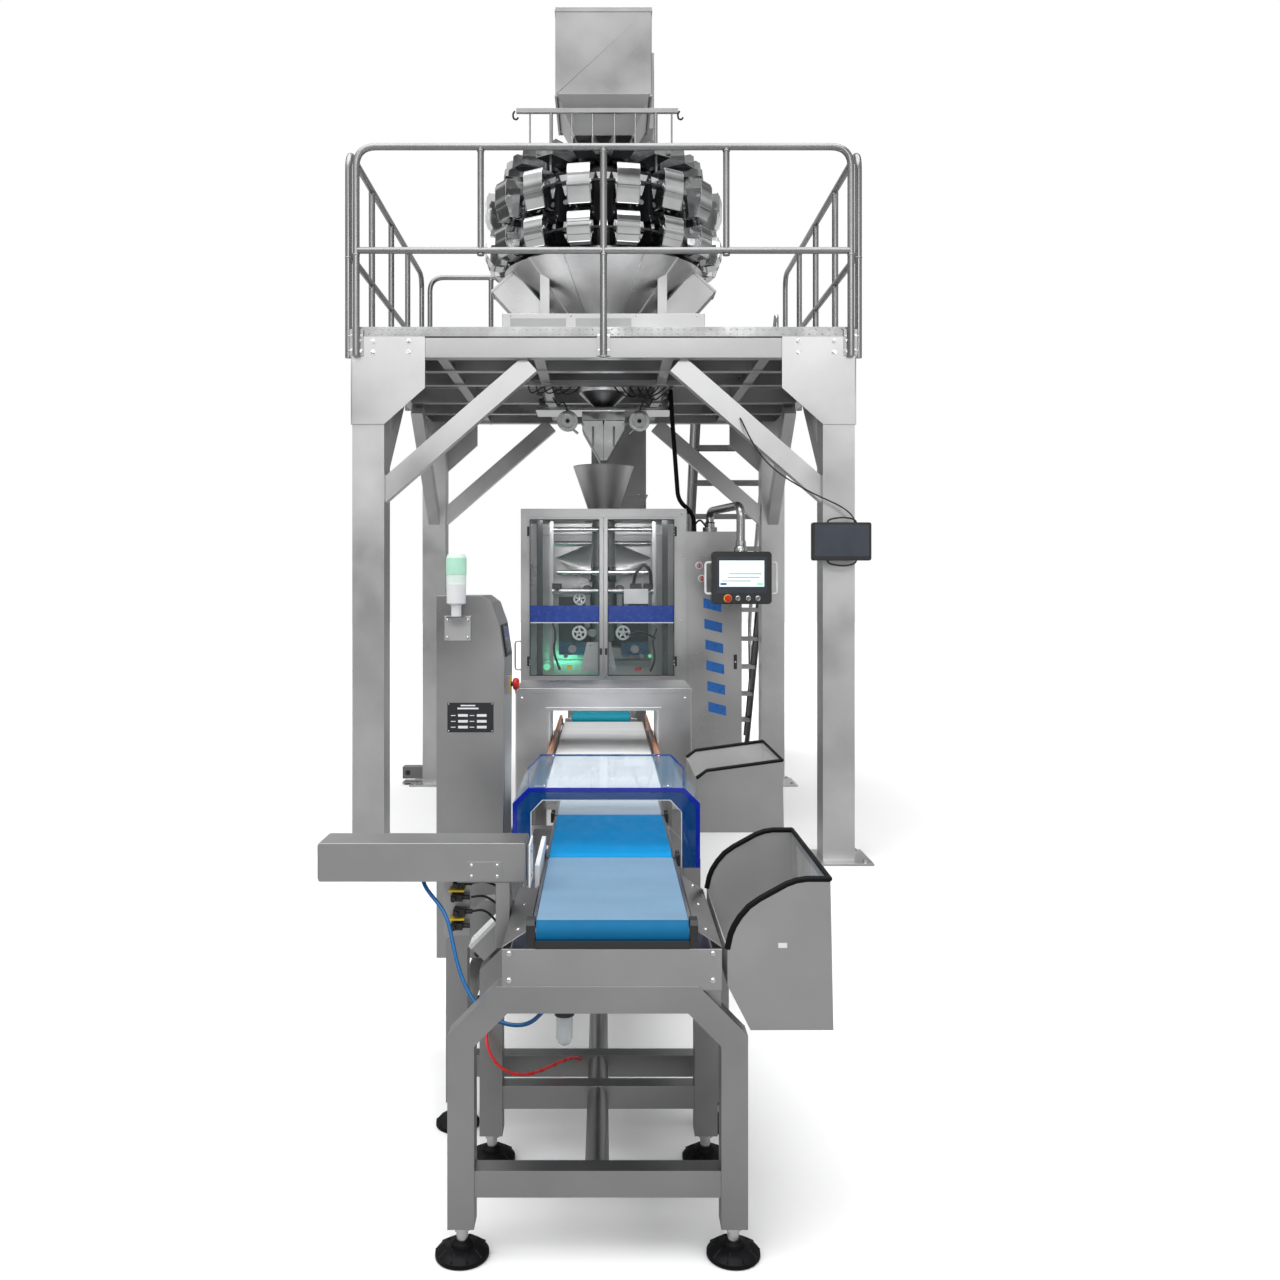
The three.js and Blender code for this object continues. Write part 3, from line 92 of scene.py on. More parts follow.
def make_world():
    """Grey studio round the horizon, bright overhead, with soft patches for the steel to mirror."""
    world = bpy.data.worlds.new("studio")
    scene.world = world
    world.use_nodes = True
    tree = world.node_tree
    tree.nodes.clear()
    coord = tree.nodes.new("ShaderNodeTexCoord")
    split = tree.nodes.new("ShaderNodeSeparateXYZ")
    tree.links.new(coord.outputs["Generated"], split.inputs["Vector"])
    rise = tree.nodes.new("ShaderNodeValToRGB")
    rise.color_ramp.elements[0].position = 0.0
    rise.color_ramp.elements[0].color = (0.5, 0.5, 0.5, 1)
    rise.color_ramp.elements[1].position = 0.75
    rise.color_ramp.elements[1].color = (1, 1, 1, 1)
    tree.links.new(split.outputs["Z"], rise.inputs["Fac"])
    noise = tree.nodes.new("ShaderNodeTexNoise")
    noise.inputs["Scale"].default_value = 2.6
    noise.inputs["Detail"].default_value = 1.0
    tree.links.new(coord.outputs["Generated"], noise.inputs["Vector"])
    patches = tree.nodes.new("ShaderNodeMapRange")
    patches.inputs["From Min"].default_value = 0.38
    patches.inputs["From Max"].default_value = 0.62
    patches.inputs["To Min"].default_value = 0.15
    patches.inputs["To Max"].default_value = 1.1
    tree.links.new(noise.outputs["Fac"], patches.inputs["Value"])
    around = tree.nodes.new("ShaderNodeBackground")
    tree.links.new(rise.outputs["Color"], around.inputs["Color"])
    tree.links.new(patches.outputs["Result"], around.inputs["Strength"])
    seen = tree.nodes.new("ShaderNodeBackground")
    seen.inputs["Color"].default_value = (1, 1, 1, 1)
    seen.inputs["Strength"].default_value = 1.0
    path = tree.nodes.new("ShaderNodeLightPath")
    mix = tree.nodes.new("ShaderNodeMixShader")
    out = tree.nodes.new("ShaderNodeOutputWorld")
    tree.links.new(path.outputs["Is Camera Ray"], mix.inputs["Fac"])
    tree.links.new(around.outputs["Background"], mix.inputs[1])
    tree.links.new(seen.outputs["Background"], mix.inputs[2])
    tree.links.new(mix.outputs["Shader"], out.inputs["Surface"])


def make_stage():
    mesh = bpy.data.meshes.new("floor")
    reach = 40
    mesh.from_pydata([(-reach, -reach, 0), (reach, -reach, 0), (reach, reach, 0), (-reach, reach, 0)],
                     [], [(0, 1, 2, 3)])
    floor = bpy.data.objects.new("floor", mesh)
    scene.collection.objects.link(floor)
    material = bpy.data.materials.new("floor_white")
    material.use_nodes = True
    shader = material.node_tree.nodes["Principled BSDF"]
    shader.inputs["Roughness"].default_value = 0.85
    path = material.node_tree.nodes.new("ShaderNodeLightPath")
    mix = material.node_tree.nodes.new("ShaderNodeMix")
    mix.data_type = "RGBA"
    mix.inputs["A"].default_value = (0.4, 0.4, 0.4, 1)
    mix.inputs["B"].default_value = (0.97, 0.97, 0.97, 1)
    material.node_tree.links.new(path.outputs["Is Camera Ray"], mix.inputs["Factor"])
    material.node_tree.links.new(mix.outputs["Result"], shader.inputs["Base Color"])
    mesh.materials.append(material)


def make_sun():
    """Very soft light from above that keeps the floor white and the shadows faint."""
    data = bpy.data.lights.new("overhead", "SUN")
    data.energy = 2.7
    data.angle = math.radians(80)
    lamp = bpy.data.objects.new("overhead", data)
    scene.collection.objects.link(lamp)
    lamp.rotation_euler = (math.radians(12), math.radians(-8), 0)


make_camera()
make_world()
make_stage()
area_light("key", (-6, -9, 7), (0, -1, 2), (5, 5), 50)
area_light("fill", (7, -8, 4), (0, -1, 1.5), (4, 6), 25)
area_light("high_front", (0, -17, 7.5), (0, -1, 3.2), (12, 3), 360)
area_light("back", (0, 11, 6), (0, 2, 2), (8, 5), 22)
area_light("cabinet_lamp", (0, 0.34, 1.93), (0, 0.8, 1.3), (0.8, 0.04), 2.6)
area_light("cabinet_glow", (-0.25, 0.62, 1.0), (0.0, 0.9, 1.25), (0.3, 0.05), 0.5, (0.2, 1.0, 0.6))
area_light("belt_lamp", (0, -2.6, 1.75), (0, -1.5, 0.8), (0.8, 0.4), 6)
make_sun()
scene.view_settings.view_transform = "Standard"


# ---- materials ------------------------------------------------------------------------------
class Look:
    """A node material round one Principled shader, in object coordinates (metres)."""

    def __init__(self, name, color, rough, metal=0.0, **constants):
        self.material = bpy.data.materials.new(name)
        self.material.use_nodes = True
        self.tree = self.material.node_tree
        self.shader = self.tree.nodes["Principled BSDF"]
        self.color = (*color, 1)
        self.shader.inputs["Base Color"].default_value = self.color
        self.shader.inputs["Roughness"].default_value = rough
        self.shader.inputs["Metallic"].default_value = metal
        for key, value in constants.items():
            self.shader.inputs[key.replace("_", " ")].default_value = value
        self.rough = rough
        self.coord = self.tree.nodes.new("ShaderNodeTexCoord")
        self.height = None

    def link(self, a, b):
        self.tree.links.new(a, b)

    def noise(self, scale, stretch=(1, 1, 1), detail=3.0):
        mapping = self.tree.nodes.new("ShaderNodeMapping")
        mapping.inputs["Scale"].default_value = stretch
        self.link(self.coord.outputs["Object"], mapping.inputs["Vector"])
        noise = self.tree.nodes.new("ShaderNodeTexNoise")
        noise.inputs["Scale"].default_value = scale
        noise.inputs["Detail"].default_value = detail
        self.link(mapping.outputs["Vector"], noise.inputs["Vector"])
        return noise.outputs["Fac"]

    def spread(self, value, low, high):
        node = self.tree.nodes.new("ShaderNodeMapRange")
        node.inputs["From Min"].default_value = 0.3
        node.inputs["From Max"].default_value = 0.7
        node.inputs["To Min"].default_value = low
        node.inputs["To Max"].default_value = high
        self.link(value, node.inputs["Value"])
        return node.outputs["Result"]

    def tint(self, value, darker, lighter=1.0):
        mix = self.tree.nodes.new("ShaderNodeMix")
        mix.data_type = "RGBA"
        mix.inputs["A"].default_value = (*[c * darker for c in self.color[:3]], 1)
        mix.inputs["B"].default_value = (*[min(c * lighter, 1) for c in self.color[:3]], 1)
        self.link(self.spread(value, 0.0, 1.0), mix.inputs["Factor"])
        self.link(mix.outputs["Result"], self.shader.inputs["Base Color"])

    def vary_rough(self, value, spread):
        self.link(self.spread(value, max(self.rough - spread, 0.02), self.rough + spread),
                  self.shader.inputs["Roughness"])

    def bump(self, value, strength, distance=0.001):
        node = self.tree.nodes.new("ShaderNodeBump")
        node.inputs["Strength"].default_value = strength
        node.inputs["Distance"].default_value = distance
        self.link(value, node.inputs["Height"])
        if self.height is not None:
            self.link(self.height, node.inputs["Normal"])
        self.height = node.outputs["Normal"]
        self.link(self.height, self.shader.inputs["Normal"])
        return self


def brushed(name, color=(0.42, 0.42, 0.422), rough=0.34, grain=(260, 260, 3)):
    look = Look(name, color, rough, 1.0)
    lines = look.noise(1.0, grain, 2.0)
    clouds = look.noise(2.2, (1, 1, 1), 4.0)
    look.tint(clouds, 0.82, 1.12)
    look.vary_rough(clouds, 0.09)
    look.bump(lines, 0.16, 0.0004)
    look.bump(look.noise(5.0), 0.05, 0.004)
    return look.material


def polished(name, color=(0.8, 0.81, 0.82), rough=0.11, waves=9.0):
    look = Look(name, color, rough, 1.0)
    clouds = look.noise(6.0)
    look.tint(clouds, 0.85, 1.05)
    look.vary_rough(look.noise(14.0), 0.05)
    look.bump(look.noise(waves, (1, 1, 1), 1.0), 0.3, 0.006)
    return look.material


def plastic(name, color, rough=0.45, grain=900.0, strength=0.08, **constants):
    look = Look(name, color, rough, 0.0, **constants)
    look.tint(look.noise(8.0), 0.9, 1.08)
    look.vary_rough(look.noise(30.0), 0.06)
    look.bump(look.noise(grain, (1, 1, 1), 1.0), strength, 0.0003)
    return look.material


def belt(name, color, rough=0.55):
    look = Look(name, color, rough, 0.0)
    look.shader.inputs["Specular IOR Level"].default_value = 0.15
    look.tint(look.noise(3.0, (1, 4, 1)), 0.93, 1.04)
    look.vary_rough(look.noise(9.0, (3, 1, 1)), 0.08)
    weave = look.tree.nodes.new("ShaderNodeTexWave")
    weave.inputs["Scale"].default_value = 160.0
    weave.inputs["Distortion"].default_value = 0.4
    look.link(look.coord.outputs["Object"], weave.inputs["Vector"])
    look.bump(weave.outputs["Fac"], 0.08, 0.0003)
    return look.material


def glassy(name, color, alpha, rough=0.03, **constants):
    look = Look(name, color, rough, 0.0, Alpha=alpha, **constants)
    look.vary_rough(look.noise(3.0), 0.015)
    look.material.surface_render_method = "BLENDED"
    return look.material


def checker_plate(name):
    look = Look(name, (0.42, 0.422, 0.425), 0.36, 1.0)
    look.tint(look.noise(3.0), 0.8, 1.15)
    look.vary_rough(look.noise(7.0), 0.1)
    look.bump(look.noise(300.0), 0.12, 0.0004)
    return look.material


def dimpled(name):
    look = Look(name, (0.8, 0.8, 0.805), 0.28, 1.0)
    look.tint(look.noise(5.0), 0.85, 1.08)
    dots = look.tree.nodes.new("ShaderNodeTexVoronoi")
    dots.inputs["Scale"].default_value = 95.0
    dots.inputs["Randomness"].default_value = 0.15
    look.link(look.coord.outputs["Object"], dots.inputs["Vector"])
    look.bump(dots.outputs["Distance"], 0.5, 0.002)
    return look.material


STEEL_UP = brushed("steel_vertical_grain")
STEEL_ALONG = brushed("steel_cross_grain", grain=(3, 260, 260))
STEEL_LIGHT = brushed("steel_light", (0.62, 0.62, 0.622), 0.36)
# A lighter, rougher copy of brushed steel; on the reject bins' rear walls it is painted light for their
# shaded insides.
STEEL_INNER = brushed("steel_inner_walls", (0.64, 0.64, 0.64), 0.5)
STEEL_DARK = brushed("steel_dark", (0.26, 0.262, 0.267), 0.4, (4, 220, 220))
TUBE_STEEL = brushed("tube_steel", (0.5, 0.5, 0.505), 0.24, (120, 120, 120))
# Painted shade: a darker copy of brushed steel for the low frames and stands, standing for the weaker light
# down there.
FRAME_STEEL_SHADED = brushed("frame_steel", (0.37, 0.37, 0.37), 0.38, (220, 220, 4))
RAIL_STEEL = brushed("rail_steel", (0.33, 0.33, 0.332), 0.28, (120, 120, 120))
POLISHED = polished("polished_steel", (0.62, 0.625, 0.63))
MIRROR_SHEET = polished("mirror_sheet", (0.74, 0.745, 0.75), 0.07, 5.0)
DIMPLED = dimpled("dimpled_steel")
CHECKER = checker_plate("checker_plate")
BOLT = polished("bolt_steel", (0.7, 0.7, 0.71), 0.22, 40.0)
BLACK = plastic("black_plastic", (0.018, 0.018, 0.02), 0.42)
RUBBER = plastic("black_rubber", (0.003, 0.003, 0.004), 0.5, 500.0, 0.12, Specular_IOR_Level=0.15)
CORE = plastic("weigher_core_paint", (0.035, 0.036, 0.04), 0.38)
WHITE = plastic("white_plastic", (0.82, 0.83, 0.84), 0.4)
BLUE_PAINT = plastic("motor_blue", (0.02, 0.16, 0.5), 0.35)
DRIVE_TEAL = plastic("drive_teal", (0.0, 0.06, 0.13), 0.3)
DECAL_BLUE = plastic("decal_blue", (0.01, 0.13, 0.46), 0.3)
BAND_BLUE = plastic("band_blue", (0.015, 0.06, 0.34), 0.25)
YELLOW = plastic("label_yellow", (0.85, 0.6, 0.03), 0.4)
RED = plastic("stop_red", (0.62, 0.015, 0.015), 0.28)
COPPER = plastic("guide_brown", (0.32, 0.12, 0.045), 0.35)
GREEN_LIGHT = plastic("beacon_green", (0.3, 0.8, 0.5), 0.25,
                      Emission_Color=(0.1, 0.9, 0.4, 1), Emission_Strength=0.5)
BEACON_GLOW = plastic("beacon_glow", (0.5, 0.85, 0.66), 0.3)
LENS_WHITE = plastic("beacon_white", (0.8, 0.93, 0.86), 0.25)
SCREEN = plastic("screen_light", (0.75, 0.85, 0.84), 0.12,
                 Emission_Color=(0.75, 0.88, 0.87, 1), Emission_Strength=0.55)
SCREEN_DARK = plastic("screen_dark", (0.06, 0.068, 0.085), 0.1, 900.0, 0.01)
BELT_WHITE = belt("belt_white", (0.68, 0.69, 0.69))
BELT_BLUE = belt("belt_blue", (0.002, 0.25, 0.56))
# Outfeed belt colours: the loop is the belt's own blue darkened by painted shade for its curved ends; the
# top skin is a paler copy, a painted reflection of the sky.
BELT_SHADE_LOOP = belt("belt_deep_blue", (0.002, 0.12, 0.27))
BELT_SHEEN_TOP = belt("belt_pale_blue", (0.178, 0.3, 0.43))
BELT_MIST = belt("belt_mist", (0.4, 0.47, 0.53))
BELT_TEAL = belt("belt_teal", (0.01, 0.24, 0.32))
GLASS = glassy("door_glass", (0.4, 0.5, 0.5), 0.05)
ACRYLIC = glassy("clear_acrylic", (0.12, 0.32, 0.55), 0.26)
BLUE_EDGE = glassy("blue_acrylic", (0.005, 0.02, 0.36), 0.93, 0.1)
BLUE_SHEET = glassy("blue_clear_acrylic", (0.0, 0.055, 0.22), 0.78, 0.06)
FILM = glassy("wound_film", (0.86, 0.89, 0.91), 0.8, 0.18)
BOWL = glassy("filter_bowl", (0.8, 0.86, 0.88), 0.4, 0.08)
HOSE_BLUE = plastic("hose_blue", (0.005, 0.12, 0.34), 0.25)
HOSE_RED = plastic("hose_red", (0.75, 0.03, 0.03), 0.28)
CABLE = plastic("cable_black", (0.012, 0.012, 0.013), 0.5)


# ---- mesh building --------------------------------------------------------------------------
SHARP = math.radians(32)


def arc(cx, cy, radius, start, end, steps):
    """Points of an arc, degrees, in a plane."""
    turns = [math.radians(start + (end - start) * i / steps) for i in range(steps + 1)]
    return [(cx + radius * math.cos(t), cy + radius * math.sin(t)) for t in turns]


def rect(x0, x1, z0, z1):
    """Four corners of a rectangle in a plane."""
    return [(x0, z0), (x1, z0), (x1, z1), (x0, z1)]


def rounded_route(points, radius, steps=6):
    """A route whose inner corners are quadratic bends."""
    corners = [Vector(p) for p in points]
    route = [corners[0]]
    for before, corner, after in zip(corners, corners[1:], corners[2:]):
        start = corner + (before - corner).normalized() * min(radius, (before - corner).length * 0.49)
        end = corner + (after - corner).normalized() * min(radius, (after - corner).length * 0.49)
        for i in range(steps + 1):
            t = i / steps
            route.append(start * (1 - t) ** 2 + corner * 2 * t * (1 - t) + end * t ** 2)
    route.append(corners[-1])
    return route


PLANES = {
    "x": lambda p, d: (d, p[0], p[1]),
    "y": lambda p, d: (p[0], d, p[1]),
    "z": lambda p, d: (p[0], p[1], d),
}


class Solid:
    """Closed shapes gathered into one piece, each in the current material."""

    def __init__(self):
        self.points = []
        self.faces = []
        self.indices = []
        self.materials = []
        self.current = 0
        self.place = Matrix.Identity(4)

    def use(self, material):
        if material not in self.materials:
            self.materials.append(material)
        self.current = self.materials.index(material)
        return self

    def add(self, points, faces):
        base = len(self.points)
        self.points.extend(self.place @ Vector(p) for p in points)
        self.faces.extend(tuple(base + i for i in face) for face in faces)
        self.indices.extend([self.current] * len(faces))
        return self

    def box(self, x0, x1, y0, y1, z0, z1):
        points = [(x, y, z) for x in (x0, x1) for y in (y0, y1) for z in (z0, z1)]
        return self.add(points, [(0, 1, 3, 2), (4, 6, 7, 5), (0, 4, 5, 1), (2, 3, 7, 6), (0, 2, 6, 4),
                                 (1, 5, 7, 3)])

    def prism(self, outline, axis, a, b):
        """An outline in the plane across an axis (XZ for y, YZ for x, XY for z), between a and b."""
        put = PLANES[axis]
        count = len(outline)
        points = [put(p, a) for p in outline] + [put(p, b) for p in outline]
        sides = [(i, (i + 1) % count, (i + 1) % count + count, i + count) for i in range(count)]
        return self.add(points, [tuple(range(count))[::-1], tuple(range(count, 2 * count))] + sides)

    def frame(self, outline, inner, axis, a, b):
        """A plate between two outlines with the same number of points."""
        put = PLANES[axis]
        n = len(outline)
        points = [put(p, d) for d in (a, b) for ring in (outline, inner) for p in ring]
        faces = []
        for i in range(n):
            j = (i + 1) % n
            faces.append((i, j, n + j, n + i))
            faces.append((2 * n + i, 3 * n + i, 3 * n + j, 2 * n + j))
            faces.append((i, 2 * n + i, 2 * n + j, j))
            faces.append((n + i, n + j, 3 * n + j, 3 * n + i))
        return self.add(points, faces)

    def tube(self, route, radius, sides=12):
        """A round bar along a route; radius may be a list, one for each point."""
        route = [Vector(p) for p in route]
        radii = radius if isinstance(radius, list) else [radius] * len(route)
        tangents = []
        for i in range(len(route)):
            before = route[max(i - 1, 0)]
            after = route[min(i + 1, len(route) - 1)]
            tangents.append((after - before).normalized())
        across = tangents[0].orthogonal().normalized()
        points = []
        for i, (centre, along) in enumerate(zip(route, tangents)):
            across = (across - along * across.dot(along)).normalized()
            up = along.cross(across)
            stretch = 1.0
            if 0 < i < len(route) - 1:
                cosine = (route[i] - route[i - 1]).normalized().dot(along)
                stretch = 1 / max(cosine, 0.7)
            for k in range(sides):
                turn = 2 * math.pi * k / sides
                spoke = across * math.cos(turn) + up * math.sin(turn)
                points.append(centre + spoke * radii[i] * min(stretch, 1.08))
        faces = []
        for i in range(len(route) - 1):
            for k in range(sides):
                m = (k + 1) % sides
                faces.append((i * sides + k, i * sides + m, (i + 1) * sides + m, (i + 1) * sides + k))
        faces.append(tuple(range(sides))[::-1])
        faces.append(tuple(range(len(points) - sides, len(points))))
        return self.add(points, faces)

    def rod(self, p, q, radius, end_radius=None, sides=20):
        end_radius = radius if end_radius is None else end_radius
        return self.tube([p, q], [radius, end_radius], sides)

    def lathe(self, profile, centre, axis="z", sides=32):
        """A closed profile of (radius, height), turned about an axis through centre."""
        turn = {"z": Matrix.Identity(3), "x": Matrix(((0, 0, 1), (0, 1, 0), (-1, 0, 0))),
                "y": Matrix(((1, 0, 0), (0, 0, 1), (0, -1, 0)))}[axis]
        centre = Vector(centre)
        points = []
        rings = []
        for radius, height in profile:
            if radius < 1e-7:
                rings.append([len(points)])
                points.append(centre + turn @ Vector((0, 0, height)))
                continue
            rings.append(list(range(len(points), len(points) + sides)))
            for k in range(sides):
                a = 2 * math.pi * k / sides
                points.append(centre + turn @ Vector((radius * math.cos(a), radius * math.sin(a), height)))
        faces = []
        for ring, after in zip(rings, rings[1:] + rings[:1]):
            for k in range(sides):
                m = (k + 1) % sides
                if len(ring) > 1 and len(after) > 1:
                    faces.append((ring[k], ring[m], after[m], after[k]))
                elif len(ring) > 1:
                    faces.append((ring[k], ring[m], after[0]))
                elif len(after) > 1:
                    faces.append((ring[0], after[m], after[k]))
        return self.add(points, faces)

    def disc(self, radius, low, high, centre, axis="z", sides=32):
        return self.lathe(rect(0, radius, low, high), centre, axis, sides)

    def ring(self, inner, outer, low, high, centre, axis="z", sides=32):
        return self.lathe(rect(inner, outer, low, high), centre, axis, sides)

    def bent(self, points, bend, radius, sides=12, steps=6):
        """A round bar whose corners are bends."""
        return self.tube(rounded_route(points, bend, steps), radius, sides)

    def hex_bolt(self, place, axis, size=0.009):
        """Washer, hexagon head and a short thread end, standing along an axis."""
        place = Vector(place)
        axis = Vector(axis)
        self.rod(place, place + axis * size * 0.25, size * 1.15, sides=16)
        self.rod(place + axis * size * 0.24, place + axis * size * 0.95, size * 0.95, size * 0.88, 6)
        return self.rod(place + axis * size * 0.9, place + axis * size * 1.3, size * 0.45, size * 0.4, 10)

    def dome(self, place, axis, size=0.008):
        """Dome-headed screw."""
        place = Vector(place)
        axis = Vector(axis)
        steps = 5
        angles = [math.pi / 2 * i / steps for i in range(steps + 1)]
        route = [place + axis * size * 0.6 * math.sin(a) for a in angles]
        return self.tube(route, [max(size * math.cos(a), size * 0.05) for a in angles], 14)

    def piece(self, name, body, slot, bevel=0.0, replaces=(), segments=2):
        mesh = bpy.data.meshes.new(name)
        mesh.from_pydata([tuple(p) for p in self.points], [], self.faces)
        for material in self.materials:
            mesh.materials.append(material)
        mesh.polygons.foreach_set("material_index", self.indices)
        work = bmesh.new()
        work.from_mesh(mesh)
        bmesh.ops.recalc_face_normals(work, faces=work.faces)
        work.to_mesh(mesh)
        work.free()
        mesh.polygons.foreach_set("use_smooth", [True] * len(mesh.polygons))
        mesh.set_sharp_from_angle(angle=SHARP)
        thing = bpy.data.objects.new(name, mesh)
        scene.collection.objects.link(thing)
        if bevel:
            soften(thing, bevel, segments)
        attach(thing, body)
        if replaces:
            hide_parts(*replaces)
        return thing


def soften(thing, width, segments=2):
    """Rounded edges that catch the light."""
    modifier = thing.modifiers.new("edge", "BEVEL")
    modifier.width = width
    modifier.segments = segments
    modifier.limit_method = "ANGLE"
    modifier.angle_limit = SHARP
    modifier.harden_normals = True


def keep_node(name, material, bevel=0.002):
    """A CAD node that stays, with its own material and softened edges."""
    node = nodes[name]
    node.data.materials.clear()
    node.data.materials.append(material)
    node.data.polygons.foreach_set("use_smooth", [True] * len(node.data.polygons))
    weld = node.modifiers.new("weld", "WELD")
    weld.merge_threshold = 0.00005
    if bevel:
        soften(node, bevel)
    even = node.modifiers.new("even", "WEIGHTED_NORMAL")
    even.keep_sharp = True


def ends(name):
    """Lowest and highest corner of a CAD node as six numbers."""
    low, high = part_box(name)
    return low[0], high[0], low[1], high[1], low[2], high[2]


def cord_curve(name, points, diameter, material, node):
    """A free hose or cable along listed points, from one fitting to the next."""
    data = bpy.data.curves.new(name, "CURVE")
    data.dimensions = "3D"
    data.bevel_depth = diameter / 2
    data.bevel_resolution = 4
    data.resolution_u = 10
    data.use_fill_caps = True
    spline = data.splines.new("NURBS")
    spline.points.add(len(points) - 1)
    for point, place in zip(spline.points, points):
        point.co = (place[0] / 1000, place[1] / 1000, place[2] / 1000, 1)
    spline.use_endpoint_u = True
    spline.order_u = 4
    data.materials.append(material)
    curve = bpy.data.objects.new(name, data)
    scene.collection.objects.link(curve)
    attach(curve, LINE)
    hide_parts(node)


# ---- hoses and cable, in millimetres as in the CAD ------------------------------------------
BLUE_ROUTE = [
    (-453, -3985, 789.7), (-453, -3985, 774), (-440, -3995, 755), (-410, -4015, 730), (-388, -4035, 705),
    (-376, -4050, 675), (-364, -4070, 630), (-350, -4085, 585), (-329, -4105, 545), (-300, -4120, 508),
    (-264, -4130, 484), (-225, -4140, 474), (-188, -4150, 477), (-158, -4160, 494), (-134, -4165, 528),
    (-118.3, -4165, 528),
]
RED_ROUTE = [
    (-305, -3855.3, 352), (-305, -3870, 352), (-304, -3886, 338), (-298, -3894, 318), (-285, -3898, 294),
    (-266, -3896, 272), (-240, -3888, 254), (-210, -3870, 242), (-178, -3840, 236), (-146, -3800, 234),
    (-116, -3756, 231), (-90, -3712, 224), (-72, -3680, 212), (-64, -3664, 196), (-64, -3650.3, 196),
]
CABLE_ROUTE = [
    (754, -467.8, 2440), (754, -482, 2440), (768, -496, 2404), (790, -508, 2352), (822, -518, 2290),
    (862, -526, 2228), (910, -533, 2172), (965, -539, 2125), (1025, -544, 2085), (1090, -549, 2046),
    (1155, -554, 2012), (1220, -560, 1982), (1280, -567, 1953), (1328, -578, 1920), (1352, -590, 1888),
    (1356, -598, 1874), (1356, -598, 1858.3),
]
cord_curve("blue_hose", BLUE_ROUTE, 0.010, HOSE_BLUE, "blue_air_hose")
cord_curve("red_hose", RED_ROUTE, 0.008, HOSE_RED, "red_air_hose")
cord_curve("display_lead", CABLE_ROUTE, 0.008, CABLE, "display_cable")


# ---- platform -------------------------------------------------------------------------------
COLUMNS = ["column_front_left", "column_front_right", "column_rear_left", "column_rear_right"]
deck_x0, deck_x1, deck_y0, deck_y1, _, deck_top = ends("deck_plate")
beam_z0, beam_z1 = ends("deck_frame")[4:]
RAIL_R = 0.019
MID_RAIL = 3.345           # height of the middle rail


def make_platform():
    for name in COLUMNS:
        keep_node(name, STEEL_LIGHT, 0.003)
    keep_node("deck_frame", STEEL_ALONG, 0.002)
    keep_node("deck_plate", CHECKER, 0.0015)
    bolts = Solid().use(BOLT)
    for side in (-1, 1):
        edge = side * deck_x1
        for y, out in ((deck_y0 - 0.008, -1), (deck_y1 + 0.008, 1)):
            for x in (0.045, 0.115, 0.31):
                for z in (beam_z1 - 0.02, beam_z0 + 0.03):
                    bolts.hex_bolt((edge - side * x, y, z), (0, out, 0), 0.011)
        for y in (deck_y0 + 0.05, deck_y0 + 0.12, deck_y0 + 0.32, deck_y1 - 0.05, deck_y1 - 0.12,
                  deck_y1 - 0.32):
            for z in (beam_z1 - 0.02, beam_z0 + 0.03):
                bolts.hex_bolt((edge + side * 0.008, y, z), (side, 0, 0), 0.011)
    for name in COLUMNS:
        x0, _, y0, y1, _, _ = ends(name)
        cx = (deck_x1 - 0.0875) * (-1 if x0 < 0 else 1)
        cy = (y0 + 0.175) if "front" in name else (y1 - 0.175)
        for dx in (-0.135, 0.135):
            for dy in (-0.135, 0.135):
                bolts.hex_bolt((cx + dx, cy + dy, 0.012), (0, 0, 1), 0.013)
    bolts.piece("platform_bolts", LINE, "brushed_stainless")
    under = Solid().use(STEEL_DARK).box(-0.52, 0.53, 0.34, 0.38, 2.79, 2.88)
    under.box(-0.52, -0.44, 0.33, 0.39, 2.785, 2.79)
    under.box(0.45, 0.53, 0.33, 0.39, 2.785, 2.79)
    under.use(CABLE)
    for k in range(5):
        x = 0.16 + 0.05 * k
        loop = [(x - 0.1, 0.5, 2.79), (x - 0.05, 0.47, 2.72 - 0.012 * k),
                (x + 0.06, 0.46, 2.70 + 0.015 * k), (x + 0.1, 0.44, 2.79)]
        under.bent(loop, 0.05, 0.005, 8, 5)
        loop = [(-x + 0.02, 0.5, 2.79), (-x - 0.03, 0.47, 2.73 + 0.01 * k), (-x - 0.1, 0.46, 2.72),
                (-x - 0.12, 0.44, 2.79)]
        under.bent(loop, 0.04, 0.0045, 8, 5)
    under.use(STEEL_DARK).box(-1.53, -1.378, 1.98, 2.08, 0.045, 0.135)
    under.use(STEEL_ALONG).box(-1.53, -1.378, 1.96, 2.10, 0.012, 0.02)
    under.use(BLACK).rod((-1.49, 1.9795, 0.09), (-1.49, 1.985, 0.09), 0.02, sides=20)
    under.piece("platform_fittings", LINE, "brushed_stainless", 0.001)


